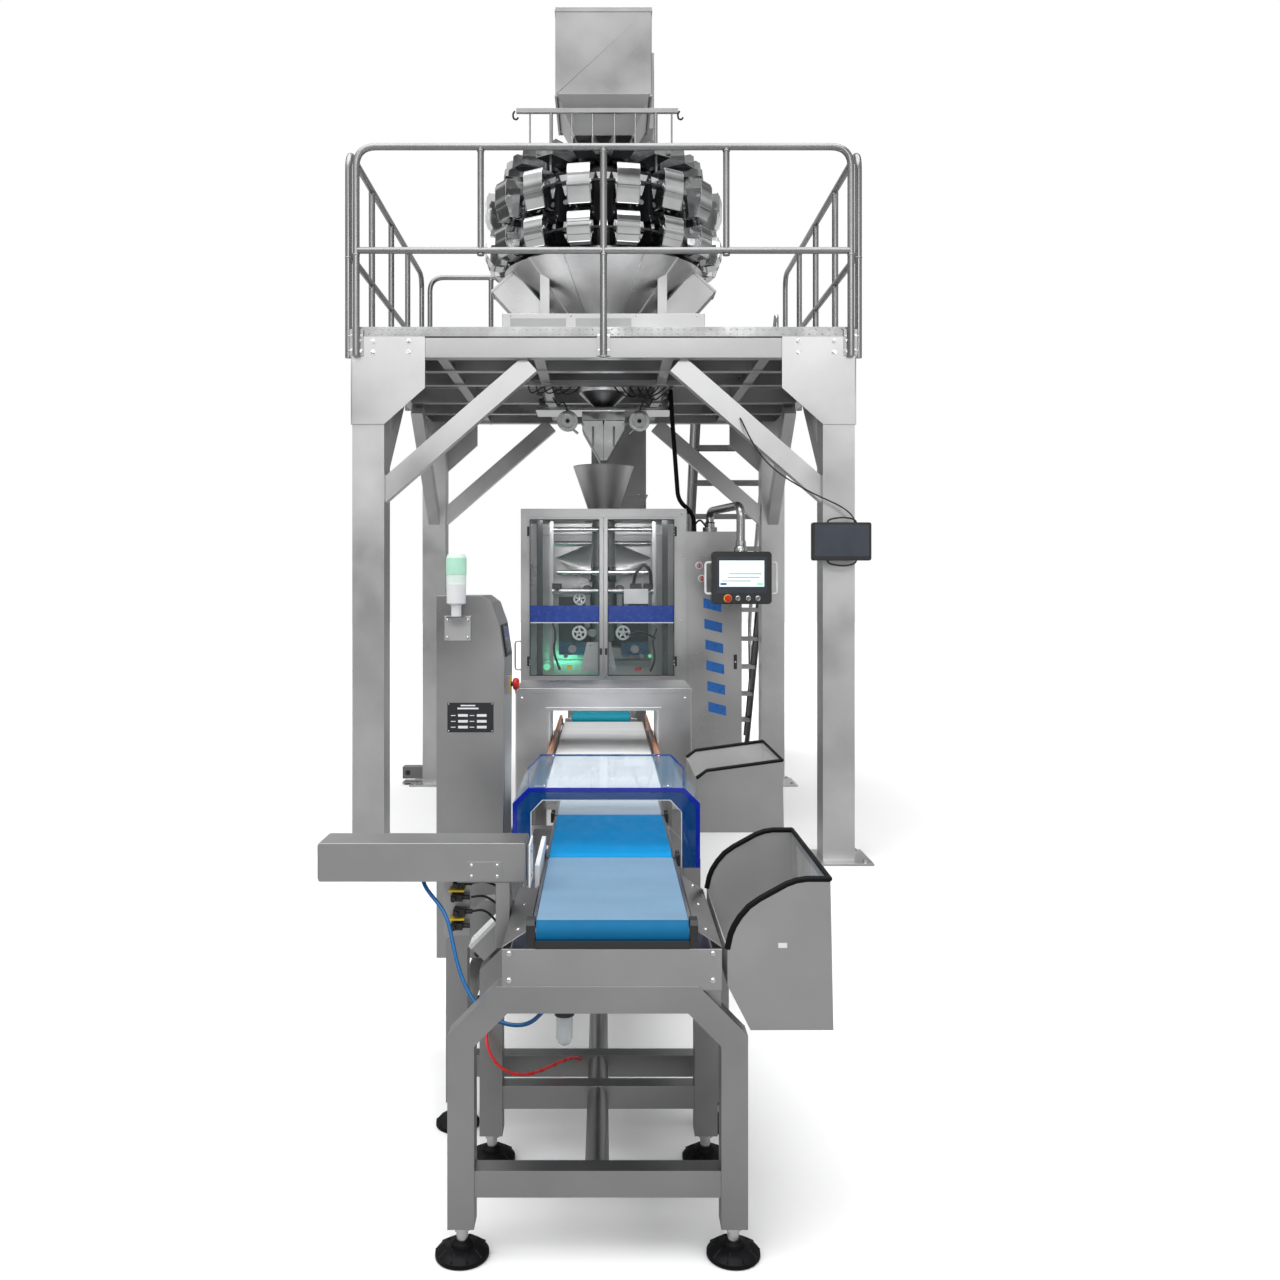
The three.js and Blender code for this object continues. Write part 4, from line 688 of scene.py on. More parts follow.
def make_tread_pattern():
    """Raised lozenges of the checker plate, in a herringbone, on the deck and on its front edge."""
    lozenge = Solid().use(CHECKER)
    pitch = 0.036
    long_half, wide_half, rise = 0.0125, 0.0042, 0.0016

    def bump(cx, cy, turn, put):
        c, s = math.cos(turn), math.sin(turn)
        rim = [(-long_half, 0), (0, -wide_half), (long_half, 0), (0, wide_half)]
        flat = [(cx + a * c - b * s, cy + a * s + b * c) for a, b in rim]
        crest = [(cx - long_half * 0.45 * c, cy - long_half * 0.45 * s),
                 (cx + long_half * 0.45 * c, cy + long_half * 0.45 * s)]
        points = [put(*p, -0.0003) for p in flat] + [put(*p, rise) for p in crest]
        lozenge.add(points, [(0, 3, 2, 1), (0, 1, 4), (1, 5, 4), (1, 2, 5), (2, 3, 5), (3, 4, 5),
                             (3, 0, 4)])

    rows = int((deck_y1 - deck_y0 - 0.02) / pitch)
    columns = int((deck_x1 - deck_x0 - 0.02) / pitch)
    for j in range(rows):
        for i in range(columns):
            x = deck_x0 + 0.02 + pitch * i
            y = deck_y0 + 0.02 + pitch * j
            if abs(x) < 0.6 and abs(y - AXIS_Y) < 0.54:
                continue
            bump(x, y, math.radians(45 if (i + j) % 2 else -45), lambda a, b, h: (a, b, deck_top + h))
    for i in range(columns):
        for j in range(2):
            x = deck_x0 + 0.02 + pitch * i
            z = deck_top - 0.014 - 0.026 * j
            bump(x, z, math.radians(35 if (i + j) % 2 else -35), lambda a, b, h: (a, deck_y0 - h, b))
            if i < rows:
                y = deck_y0 + 0.02 + pitch * i
                for side in (-1, 1):
                    bump(y, z, math.radians(35 if (i + j) % 2 else -35),
                         lambda a, b, h, side=side: (side * (deck_x1 + h), a, b))
    lozenge.piece("deck_tread_pattern", LINE, "deck_checker")


def make_rail(node, along, posts, short_posts=()):
    """Hoop of top rail and end posts, a mid rail, posts and their bolted feet."""
    x0, x1, y0, y1, z0, z1 = ends(node)
    rail = Solid().use(RAIL_STEEL)
    fixed = (y0 + y1) / 2 if along == "x" else (x0 + x1) / 2
    first, last = (x0, x1) if along == "x" else (y0, y1)
    first += RAIL_R
    last -= RAIL_R
    top = z1 - RAIL_R
    mid = MID_RAIL

    def at(place, z):
        return (place, fixed, z) if along == "x" else (fixed, place, z)

    hoop = rounded_route([at(first, z0), at(first, top), at(last, top), at(last, z0)], 0.11, 8)
    rail.tube(hoop, RAIL_R, 20)
    rail.tube([at(first, mid), at(last, mid)], RAIL_R * 0.96, 20)
    for place in posts:
        rail.tube([at(place, z0), at(place, top)], RAIL_R, 20)
    for place in short_posts:
        rail.tube([at(place, mid), at(place, top)], RAIL_R * 0.92, 20)
    joints = [(place, z) for place in posts for z in (mid, top)]
    joints += [(place, z) for place in short_posts for z in (mid, top)]
    joints += [(first, mid), (last, mid)]
    for place, z in joints:
        low = z - RAIL_R * 1.25
        rail.tube([at(place, low - 0.004), at(place, low), at(place, low + 0.004)],
                  [RAIL_R * 1.0, RAIL_R * 1.1, RAIL_R * 1.0], 20)
    wall = {"guard_rail_front": deck_y0, "guard_rail_rear": deck_y1, "guard_rail_left": deck_x0,
            "guard_rail_right": deck_x1}[node]
    out = -1 if node in ("guard_rail_front", "guard_rail_left") else 1
    for place in [first, last, *posts]:
        rail.use(STEEL_UP)
        half = 0.036
        near, far = sorted((wall + out * 0.0085, wall + out * 0.0145))
        if along == "x":
            rail.box(place - half, place + half, near, far, z0 + 0.004, z0 + 0.15)
        else:
            rail.box(near, far, place - half, place + half, z0 + 0.004, z0 + 0.15)
        rail.use(BOLT)
        for shift in (-0.027, 0.027):
            for z in (z0 + 0.035, z0 + 0.115):
                spot = at(place + shift, z)
                face = wall + out * 0.0145
                spot = (spot[0], face, z) if along == "x" else (face, spot[1], z)
                rail.hex_bolt(spot, (0, out, 0) if along == "x" else (out, 0, 0), 0.006)
        rail.use(TUBE_STEEL)
        rail.tube([at(place, z0 - 0.001), at(place, z0 + 0.003)], [RAIL_R * 0.7, RAIL_R * 0.95], 20)
    rail.piece(node + "_tubes", LINE, "brushed_stainless", replaces=[node])


def make_rails():
    make_rail("guard_rail_front", "x", [0.0], [-0.67, 0.67])
    first, last = ends("guard_rail_left")[2:4]
    bay = (last - first - 2 * RAIL_R) / 4
    side_posts = [first + RAIL_R + bay * i for i in (1, 2, 3)]
    make_rail("guard_rail_left", "y", side_posts)
    make_rail("guard_rail_right", "y", side_posts)
    make_rail("guard_rail_rear", "x", [-0.875, -0.16])


def make_ladder():
    x0, x1 = ends("ladder")[:2]
    foot_y, head_y, head_z = 4.2555, deck_y1 + 0.06, deck_top - 0.06
    slope = head_z / (foot_y - head_y)
    ladder = Solid()
    for x, inner in ((x0, 1), (x1, -1)):
        ladder.use(STEEL_DARK)
        outline = [(head_y, head_z + 0.05), (head_y - 0.045, head_z + 0.05),
                   (head_y - 0.045, head_z - 0.12),
                   (head_y, head_z - 0.15), (foot_y - 0.10, 0.0), (foot_y + 0.07, 0.0),
                   (foot_y + 0.07, 0.03)]
        web = sorted((x + inner * 0.001, x + inner * 0.008))
        ladder.prism(outline, "x", *web)
        for shift in (-0.058, 0.058):
            a = Vector((x + inner * 0.019, foot_y + shift * 0.8, max(0.02, 0.02 + shift)))
            b = Vector((x + inner * 0.019, head_y + shift * 0.8, head_z + shift * 0.8))
            side = Vector((1, 0, 0))
            along = (b - a).normalized()
            third = along.cross(side)
            half = 0.0035
            points = []
            for end in (a, b):
                for u, v in ((-0.018, -half), (0.018, -half), (0.018, half), (-0.018, half)):
                    points.append(end + side * u + third * v)
            ladder.add(points, [(0, 1, 2, 3), (7, 6, 5, 4), (0, 4, 5, 1), (1, 5, 6, 2), (2, 6, 7, 3),
                                (3, 7, 4, 0)])
        ladder.use(TUBE_STEEL)
        mid_x = x + inner * 0.02
        rail = rounded_route([(mid_x, foot_y - 0.38, 0.38 * slope), (mid_x, foot_y - 0.28, 1.18),
                              (mid_x, head_y + 0.06, 3.69),
                              (mid_x, head_y + 0.06, head_z - 0.06 * slope)], 0.12, 8)
        ladder.tube(rail, 0.017, 16)
        mid_y = (head_y + foot_y) / 2 - 0.06
        stay_z = (foot_y - mid_y) * slope
        ladder.tube([(mid_x, mid_y, stay_z), (mid_x, mid_y, stay_z + 0.655)], 0.0145, 16)
        ladder.use(BLACK).tube([(mid_x, mid_y, stay_z + 0.61), (mid_x, mid_y, stay_z + 0.66)], 0.021, 16)
        ladder.use(BOLT)
        for i in range(1, 11):
            z = i * head_z / 11
            ladder.hex_bolt((x + inner * 0.001, foot_y - z / slope, z), (-inner, 0, 0), 0.006)
    for i in range(1, 11):
        z = i * head_z / 11
        y = foot_y - z / slope
        ladder.use(CHECKER).box(x0 + 0.008, x1 - 0.008, y - 0.07, y + 0.07, z + 0.01, z + 0.014)
        ladder.box(x0 + 0.008, x1 - 0.008, y + 0.066, y + 0.07, z - 0.022, z + 0.011)
        ladder.box(x0 + 0.008, x1 - 0.008, y - 0.07, y - 0.066, z - 0.022, z + 0.011)
        for k in range(17):
            for row in (-0.035, 0.0, 0.035):
                x = x0 + 0.04 + k * (x1 - x0 - 0.08) / 16
                ladder.box(x - 0.009, x + 0.009, y + row - 0.002, y + row + 0.002, z + 0.0135, z + 0.0155)
    ladder.use(STEEL_DARK).box(x0 + 0.001, x1 - 0.001, deck_y1 + 0.0005, head_y + 0.03, deck_top - 0.05,
                               deck_top - 0.002)
    ladder.piece("ladder_steps_and_rails", LINE, "brushed_stainless", 0.001, ["ladder"])


# ---- bucket elevator ------------------------------------------------------------------------
def make_elevator():
    keep_node("elevator_casing", STEEL_UP, 0.004)
    trim = Solid().use(STEEL_ALONG)
    head = (-0.31, 0.31, 0.6, 1.25, 4.67, 5.24)
    fold = 0.004
    for z in (head[5] - 0.02, head[4] + 0.004):
        trim.frame(rect(head[0] - fold, head[1] + fold, head[2] - fold, head[3]),
                   rect(head[0] + 0.01, head[1] - 0.01, head[2] + 0.01, head[3] - 0.01),
                   "z", z - 0.012, z)
    leg = (-0.1, 0.35, 2.685, 3.135)
    lip = 0.014
    for z in (0.66, 1.45, 2.25, 3.05, 3.85, 4.5):
        trim.frame(rect(leg[0] - lip, leg[1] + lip, leg[2] - lip, leg[3] + lip),
                   rect(leg[0] + 0.004, leg[1] - 0.004, leg[2] + 0.004, leg[3] - 0.004),
                   "z", z, z + 0.012)
    for y in (1.5, 2.1, 2.6):
        trim.frame(rect(leg[0] - lip, leg[1] + lip, 4.68, 5.228),
                   rect(leg[0] + 0.004, leg[1] - 0.004, 4.7, 5.21),
                   "y", y, y + 0.012)
    trim.use(BOLT)
    for z in (0.672, 1.462, 2.262, 3.062, 3.862):
        for x in (-0.04, 0.125, 0.29):
            for y in (leg[2] - 0.006, leg[3] + 0.006):
                trim.hex_bolt((x, y, z), (0, 0, 1), 0.006)
    for z in (1.0, 1.9, 2.7, 3.5):
        trim.use(STEEL_ALONG).box(leg[0] + 0.06, leg[1] - 0.06, leg[3], leg[3] + 0.004, z - 0.16, z + 0.16)
        trim.use(BLACK).rod((leg[0] + 0.09, leg[3] + 0.003, z), (leg[0] + 0.09, leg[3] + 0.022, z), 0.014,
                            0.011, 14)
    trim.use(BLUE_PAINT).lathe([(0, 0), (0.062, 0), (0.068, 0.01), (0.068, 0.15), (0.06, 0.17), (0, 0.17)],
                               (0.125, 3.18, 4.9), "y", 28)
    trim.use(STEEL_DARK).box(0.035, 0.215, 3.1345, 3.185, 4.81, 4.99)
    trim.piece("elevator_flanges", LINE, "brushed_stainless", 0.0012)
    hopper = Solid().use(TUBE_STEEL)
    rim = 0.283
    route = [(0.125 + sx * rim, 3.86 + sy * rim, 1.18) for sx,
             sy in ((-1, -1), (1, -1), (1, 1), (-1, 1), (-1, -1))]
    for a, b in zip(route, route[1:]):
        hopper.rod(a, b, 0.009, sides=12)
    hopper.piece("infeed_hopper_rim", LINE, "brushed_stainless")


# ---- multihead weigher ----------------------------------------------------------------------
AXIS_Y = 0.785
HEADS = 16
HEAD_STEP = 2 * math.pi / HEADS


def head_place(index, z=0.0):
    """Matrix that carries a head built along +X at the origin to its place round the axis."""
    turn = (index + 0.5) * HEAD_STEP - math.pi / 2
    return Matrix.Translation((0, AXIS_Y, z)) @ Matrix.Rotation(turn, 4, "Z")


def bucket(solid, inner, outer, z_top, z_bottom, half):
    """One bucket: folded walls with a rounded top edge, a sloping front and a hinged gate below."""
    solid.use(MIRROR_SHEET)
    wall = 0.0025
    lean = 0.02
    belly = z_bottom + 0.42 * (z_top - z_bottom)
    low_out = outer - 0.035
    for side in (-1, 1):
        y0, y1 = sorted((side * half, side * (half - wall)))
        solid.prism([(inner, z_top), (outer - 0.012, z_top), (outer, z_top - 0.02), (outer, belly),
                     (low_out, z_bottom + 0.012), (inner + lean, z_bottom + 0.012)], "y", y0, y1)
    outline = [(outer - 0.012, z_top), (outer, z_top - 0.02), (outer, belly), (low_out, z_bottom + 0.012)]
    inset = [(x - wall * 1.4, z) for x, z in outline]
    solid.prism(outline + inset[::-1], "y", -half + wall, half - wall)
    back = [(inner, z_top), (inner + lean, z_bottom + 0.012), (inner + lean + wall, z_bottom + 0.012),
            (inner + wall, z_top)]
    solid.prism(back, "y", -half + wall, half - wall)
    solid.rod((outer - 0.013, -half, z_top), (outer - 0.013, half, z_top), 0.004, sides=10)
    gate = [(low_out + 0.004, z_bottom + 0.014), (low_out + 0.006, z_bottom + 0.008),
            (inner + lean + 0.03, z_bottom),
            (inner + lean, z_bottom + 0.01), (inner + lean, z_bottom + 0.014),
            (inner + lean + 0.03, z_bottom + 0.004)]
    solid.use(POLISHED).prism(gate, "y", -half + 0.004, half - 0.004)
    for side in (-1, 1):
        y = side * (half + 0.003)
        solid.use(POLISHED).prism(
            [(outer - 0.02, belly + 0.05), (outer - 0.002, belly + 0.02),
             (low_out + 0.008, z_bottom + 0.01),
             (low_out - 0.014, z_bottom + 0.008),
             (outer - 0.045, belly + 0.03)], "y", *sorted((y, y - side * 0.003)))
        solid.use(BOLT).rod((outer - 0.024, side * half, belly + 0.035),
                            (outer - 0.024, side * (half + 0.007), belly + 0.035), 0.006, sides=12)
    solid.use(BLACK).box(inner - 0.006, inner + 0.004, -half * 0.55, half * 0.55, z_top - 0.075,
                         z_top - 0.03)


def make_bucket_rings():
    for name, z_top, z_bottom in (("feed_hoppers", 4.03, 3.79), ("weigh_hoppers", 3.745, 3.56)):
        ring = Solid()
        for i in range(HEADS):
            ring.place = head_place(i)
            bucket(ring, 0.627, 0.773, z_top, z_bottom, 0.07)
        ring.place = Matrix.Translation((0, AXIS_Y, 0))
        ring.use(CORE).ring(0.606, 0.63, z_top - 0.06, z_top - 0.046, (0, 0, 0), "z", 56)
        ring.piece(name + "_buckets", LINE, "polished_stainless", 0.0008, [name], 1)


def make_weigher_core():
    core = Solid()
    core.place = Matrix.Translation((0, AXIS_Y, 0))
    core.use(CORE).lathe([(0, 3.6), (0.42, 3.6), (0.43, 3.61), (0.43, 4.12), (0.41, 4.14), (0, 4.14)],
                         (0, 0, 0), "z", 56)
    core.use(STEEL_ALONG).lathe([(0, 3.56), (0.55, 3.56), (0.56, 3.565), (0.56, 3.596), (0.55, 3.6),
                                 (0, 3.6)], (0, 0, 0), "z", 56)
    for i in range(HEADS):
        core.place = head_place(i)
        core.use(CORE).prism([(0.40, 3.76), (0.575, 3.76), (0.59, 3.775), (0.59, 4.0), (0.56, 4.04),
                              (0.40, 4.04)], "y", -0.06, 0.06)
        core.use(BLACK).box(0.588, 0.6, -0.028, 0.028, 3.80, 3.86)
        core.box(0.42, 0.585, -0.045, 0.045, 3.63, 3.745)
        core.use(STEEL_DARK)
        for side in (-1, 1):
            core.rod((0.588, side * 0.035, 3.93), (0.61, side * 0.035, 3.93), 0.007, sides=12)
            core.rod((0.583, side * 0.03, 3.69), (0.607, side * 0.03, 3.69), 0.006, sides=12)
            core.rod((0.589, side * 0.045, 3.77), (0.607, side * 0.052, 3.74), 0.005, sides=10)
        core.use(BOLT)
        for side in (-1, 1):
            for z in (3.79, 4.01):
                core.dome((0.589, side * 0.05, z), (1, 0, 0), 0.005)
        core.place = head_place(i + 0.5)
        core.use(MIRROR_SHEET).prism([(-0.044, 4.03), (0.044, 4.03), (0.004, 3.9), (-0.004, 3.9)], "x", 0.6,
                                     0.604)
        core.prism([(-0.022, 3.75), (0.022, 3.75), (0.03, 3.69), (0.008, 3.64), (-0.008, 3.64),
                    (-0.03, 3.69)], "x", 0.58, 0.584)
        core.use(STEEL_DARK).rod((0.56, 0, 3.86), (0.607, 0, 3.86), 0.016, sides=16)
        core.use(BOLT)
        for y, z in ((-0.024, 3.99), (0.024, 3.99), (0, 3.93), (0, 3.86), (-0.012, 3.72), (0.012, 3.72)):
            core.dome((0.603 if z > 3.8 else 0.583, y, z), (1, 0, 0), 0.0055)
    core.place = Matrix.Identity(4)
    leg = 0.52 * math.sqrt(0.5)
    for sx in (-1, 1):
        for sy in (-1, 1):
            x, y = sx * leg, AXIS_Y + sy * leg
            core.use(STEEL_UP).box(x - 0.03, x + 0.03, y - 0.03, y + 0.03, 3.1805, 3.57)
            core.box(x - 0.05, x + 0.05, y - 0.05, y + 0.05, 3.1805, 3.19)
    bar_y = AXIS_Y - 0.33
    core.use(STEEL_ALONG).box(-0.55, 0.47, bar_y - 0.014, bar_y + 0.014, 4.496, 4.524)
    core.use(TUBE_STEEL)
    for x in (-0.33, 0.33):
        core.rod((x, bar_y, 4.04), (x, bar_y, 4.5), 0.011)
        core.rod((x, bar_y, 4.051), (math.copysign(0.25, x), bar_y, 4.051), 0.011)
    for x in (-0.464, 0.43):
        core.rod((x, bar_y, 4.29), (x, bar_y, 4.5), 0.0055, sides=12)
    for x in (-0.56, 0.48):
        hook = [(x, bar_y, 4.51), (x - 0.012, bar_y, 4.49), (x - 0.008, bar_y, 4.462),
                (x + 0.012, bar_y, 4.455), (x + 0.022, bar_y, 4.47)]
        core.use(BLACK).bent(hook, 0.008, 0.006, 10, 3)
    for x in (-0.2, -0.07, 0.07, 0.2):
        core.use(TUBE_STEEL).rod((x, bar_y, 4.5), (x, bar_y + 0.02, 4.2), 0.005, sides=10)
    core.piece("weigher_core", LINE, "weigher_core", 0.002, ["weigher_body"])


def make_feeders():
    feeders = Solid()
    feeders.place = Matrix.Translation((0, AXIS_Y, 0))
    feeders.use(MIRROR_SHEET).lathe([(0, 4.235), (0.326, 4.235), (0.33, 4.24), (0.33, 4.262), (0.2, 4.322),
                                     (0.07, 4.39), (0.03, 4.405), (0, 4.409)], (0, 0, 0), "z", 56)
    feeders.use(CORE).disc(0.2, 4.1415, 4.236, (0, 0, 0), "z", 40)
    for i in range(HEADS):
        feeders.place = head_place(i)
        feeders.use(POLISHED)
        feeders.prism([(0.3, 4.152), (0.65, 4.15), (0.655, 4.15), (0.655, 4.154), (0.3, 4.157)], "y", -0.06,
                      0.06)
        for side in (-1, 1):
            y0, y1 = sorted((side * 0.062, side * 0.0595))
            feeders.prism([(0.3, 4.15), (0.655, 4.15), (0.645, 4.235), (0.62, 4.25), (0.3, 4.25)], "y", y0,
                          y1)
            feeders.rod((0.3, side * 0.061, 4.25), (0.622, side * 0.061, 4.25), 0.003, sides=8)
        feeders.use(BLACK).box(0.34, 0.44, -0.03, 0.03, 4.1415, 4.151)
    feeders.piece("feeder_pan_star", LINE, "polished_stainless", 0.0008, ["feeder_pans"], 1)


def square_sleeve(solid, bottom, top, half, wall):
    """A square tube between two centres."""
    bottom, top = Vector(bottom), Vector(top)
    along = (top - bottom).normalized()
    side = Vector((0, 1, 0))
    third = along.cross(side).normalized()
    points = []
    for end in (bottom, top):
        for reach in (half, half - wall):
            for u, v in ((-1, -1), (1, -1), (1, 1), (-1, 1)):
                points.append(end + side * u * reach + third * v * reach)
    faces = []
    for i in range(4):
        j = (i + 1) % 4
        faces += [(i, j, 4 + j, 4 + i), (8 + i, 12 + i, 12 + j, 8 + j), (i, 8 + i, 8 + j, j),
                  (4 + i, 4 + j, 12 + j, 12 + i)]
    return solid.add(points, faces)


def make_chute():
    chute = Solid()
    chute.place = Matrix.Translation((0, AXIS_Y, 0))
    chute.use(DIMPLED).lathe([
        (0.64, 3.548), (0.65, 3.548), (0.264, 3.2), (0.252, 3.1), (0.162, 2.78), (0.062, 2.69),
        (0.056, 2.69), (0.156, 2.782), (0.246, 3.1), (0.258, 3.203)], (0, 0, 0), "z", 56)
    for i in range(HEADS):
        chute.place = Matrix.Translation((0, AXIS_Y, 0)) @ Matrix.Rotation(i * HEAD_STEP - math.pi / 2, 4,
                                                                           "Z")
        seam = [(0.655, 3.549), (0.268, 3.2), (0.262, 3.2), (0.648, 3.549)]
        if i % 2 == 0:
            chute.use(WHITE).prism(seam, "y", -0.007, 0.007)
        else:
            chute.use(POLISHED).prism(seam, "y", -0.004, 0.004)
    chute.place = Matrix.Identity(4)
    chute.use(STEEL_ALONG)
    tilt = math.radians(42)
    for side in (-1, 1):
        base = Vector((side * 0.43, AXIS_Y - 0.12, 3.225))
        along = Vector((side * math.sin(tilt), 0, math.cos(tilt)))
        square_sleeve(chute, base + along * 0.01, base + along * 0.318, 0.095, 0.004)
        square_sleeve(chute, base + along * 0.315, base + along * 0.33, 0.099, 0.006)
    chute.piece("collecting_cone", LINE, "polished_stainless", 0.001, ["collecting_chute"], 1)


def make_weigher_base():
    keep_node("weigher_base", STEEL_LIGHT, 0.003)
    z0, z1 = ends("weigher_base")[4:]
    front = AXIS_Y - 0.56
    trim = Solid()
    trim.use(YELLOW).disc(0.037, 0, 0.002, (0.52, front - 0.0205, 3.025), "y", 28)
    trim.use(RED).lathe([(0, 0), (0.021, 0), (0.025, 0.004), (0.025, 0.013), (0.02, 0.019), (0, 0.0195)],
                        (0.52, front - 0.0415, 3.025), "y", 28)
    trim.use(STEEL_ALONG)
    for x in (-0.4, 0.0):
        trim.box(x - 0.17, x + 0.17, front - 0.003, front, z0 + 0.03, z1 - 0.03)
    trim.use(BOLT)
    for x in (-0.57, -0.2, 0.2, 0.57):
        for z in (z0 + 0.015, z1 - 0.015):
            trim.dome((x, front, z), (0, -1, 0), 0.006)
    trim.use(BLACK)
    for x in (-0.3, 0.1):
        trim.rod((x, front - 0.003, z0 + 0.12), (x, front - 0.018, z0 + 0.12), 0.012, 0.01, 14)
    trim.piece("weigher_base_trim", LINE, "brushed_stainless", 0.0008)


def make_timing_hopper():
    keep_node("timing_hopper", POLISHED, 0.002)
    trim = Solid()
    for x in (-0.23, 0.23):
        front = AXIS_Y - 0.215
        trim.use(POLISHED).lathe([(0.045, 0), (0.066, 0), (0.068, -0.006), (0.066, -0.014),
                                  (0.045, -0.014)], (x, front + 0.002, 2.57), "y", 32)
        trim.use(WHITE).disc(0.044, 0.0, -0.005, (x, front + 0.002, 2.57), "y", 28)
        trim.use(BLACK).lathe([(0, -0.004), (0.014, -0.004), (0.012, -0.02), (0, -0.02)],
                              (x, front + 0.002, 2.57), "y", 20)
        inner = math.copysign(0.165, x)
        trim.use(TUBE_STEEL).rod((x, AXIS_Y - 0.16, 2.55), (inner, AXIS_Y - 0.14, 2.5), 0.008)
        trim.use(BLACK).bent([(x, AXIS_Y - 0.17, 2.63), (x * 1.1, AXIS_Y - 0.2, 2.7),
                              (x * 1.3, AXIS_Y - 0.1, 2.69),
                                            (x * 1.45, AXIS_Y, 2.755)], 0.04, 0.005, 10, 5)
    trim.use(CORE).box(-0.55, 0.55, AXIS_Y - 0.36, AXIS_Y - 0.335, 2.777, 2.87)
    trim.use(BOLT)
    for x in (-0.4, -0.2, 0.2, 0.4):
        trim.hex_bolt((x, AXIS_Y - 0.14, 2.67), (0, 0, 1), 0.008)
        trim.hex_bolt((x, AXIS_Y + 0.14, 2.67), (0, 0, 1), 0.008)
    trim.piece("timing_hopper_drives", LINE, "polished_stainless", 0.0008)
    for side, name, body in ((-1, "timing_flap_left", "timing_flap_l"),
                             (1, "timing_flap_right", "timing_flap_r")):
        flap = Solid().use(MIRROR_SHEET)
        outer, z = 0.138, 2.5877
        slope_points = [(side * outer, z), (side * outer, 2.53), (side * 0.022, 2.325),
                        (side * 0.0008, 2.325),
                        (side * 0.0008, 2.33), (side * 0.02, 2.33), (side * (outer - 0.004), 2.532),
                        (side * (outer - 0.004), z)]
        flap.prism(slope_points, "y", AXIS_Y - 0.11, AXIS_Y + 0.11)
        for y0, y1 in ((AXIS_Y - 0.11, AXIS_Y - 0.1065), (AXIS_Y + 0.1065, AXIS_Y + 0.11)):
            flap.prism([(side * outer, z), (side * outer, 2.53), (side * 0.022, 2.325),
                        (side * 0.0008, 2.325),
                        (side * 0.0008, 2.553), (side * 0.006, z)], "y", y0, y1)
        flap.use(BOLT)
        flap.rod((side * 0.134, AXIS_Y - 0.13, 2.56), (side * 0.134, AXIS_Y - 0.106, 2.56), 0.009)
        flap.rod((side * 0.134, AXIS_Y + 0.106, 2.56), (side * 0.134, AXIS_Y + 0.13, 2.56), 0.009)
        flap.use(STEEL_DARK).box(*sorted((side * 0.06, side * 0.075)), AXIS_Y - 0.114, AXIS_Y - 0.11, 2.42,
                                 2.55)
        flap.piece(name + "_shell", body, "polished_stainless", 0.001, [name])


make_platform()
make_tread_pattern()
make_rails()
make_ladder()
make_elevator()
make_bucket_rings()
make_weigher_core()
make_feeders()
make_chute()
make_weigher_base()
make_timing_hopper()


# ---- form fill sealer -----------------------------------------------------------------------
DOOR_FRONT = 0.2853         # front face of the closed doors


def make_sealer_shell():
    keep_node("sealer_frame", STEEL_UP, 0.002)
    trim = Solid().use(STEEL_ALONG)
    post = 0.51
    trim.box(-post + 0.002, post - 0.002, 0.2835, 0.285, 1.942, 1.984)
    trim.use(BOLT)
    for x in (-0.488, 0.48):
        for z in (0.93, 1.3, 1.7, 1.955):
            trim.dome((x, 0.285, z), (0, -1, 0), 0.006)
    trim.use(BLACK)
    for x in (-0.464, 0.445):
        for z in (1.05, 1.85):
            trim.rod((x, 0.283, z - 0.03), (x, 0.283, z + 0.03), 0.007, sides=14)
    trim.piece("sealer_trim", LINE, "brushed_stainless", 0.0008)


def make_door(node, body, hinge_side):
    x0, x1, _, _, z0, z1 = ends(node)
    y0 = DOOR_FRONT
    door = Solid()
    rim = 0.009
    stile = 0.025
    left, right = (x0 + rim, x1 - stile) if hinge_side < 0 else (x0 + stile, x1 - rim)
    low, high = z0 + rim, z1 - rim
    outline = rect(x0, x1, z0, z1)
    inner = rect(left, right, low, high)
    door.use(STEEL_UP).frame(outline, inner, "y", y0, y0 + 0.028)
    seal = 0.004
    gasket = rect(left + seal, right - seal, low + seal, high - seal)
    door.use(RUBBER).frame(inner, gasket, "y", y0 + 0.009, y0 + 0.019)
    door.use(GLASS).box(left + 0.001, right - 0.001, y0 + 0.0115, y0 + 0.0165, low + 0.001, high - 0.001)
    door.use(BAND_BLUE).box(left + 0.001, right - 0.001, y0 + 0.0095, y0 + 0.011, 1.29, 1.393)
    door.use(WHITE).box(left + 0.001, right - 0.001, y0 + 0.0095, y0 + 0.0112, 1.284, 1.29)
    grip = x1 - 0.0153 if hinge_side < 0 else x0 + 0.0153
    door.use(BLACK).box(grip - 0.0065, grip + 0.0065, y0 - 0.0135, y0, 1.09, 1.13)
    door.use(BOLT)
    hinge_x = x0 + 0.01 if hinge_side < 0 else x1 - 0.01
    for z in (1.03, 1.05, 1.83, 1.85):
        door.dome((hinge_x, y0, z), (0, -1, 0), 0.0045)
    door.piece(node + "_glazed", body, "door_glazing", 0.0012, [node])


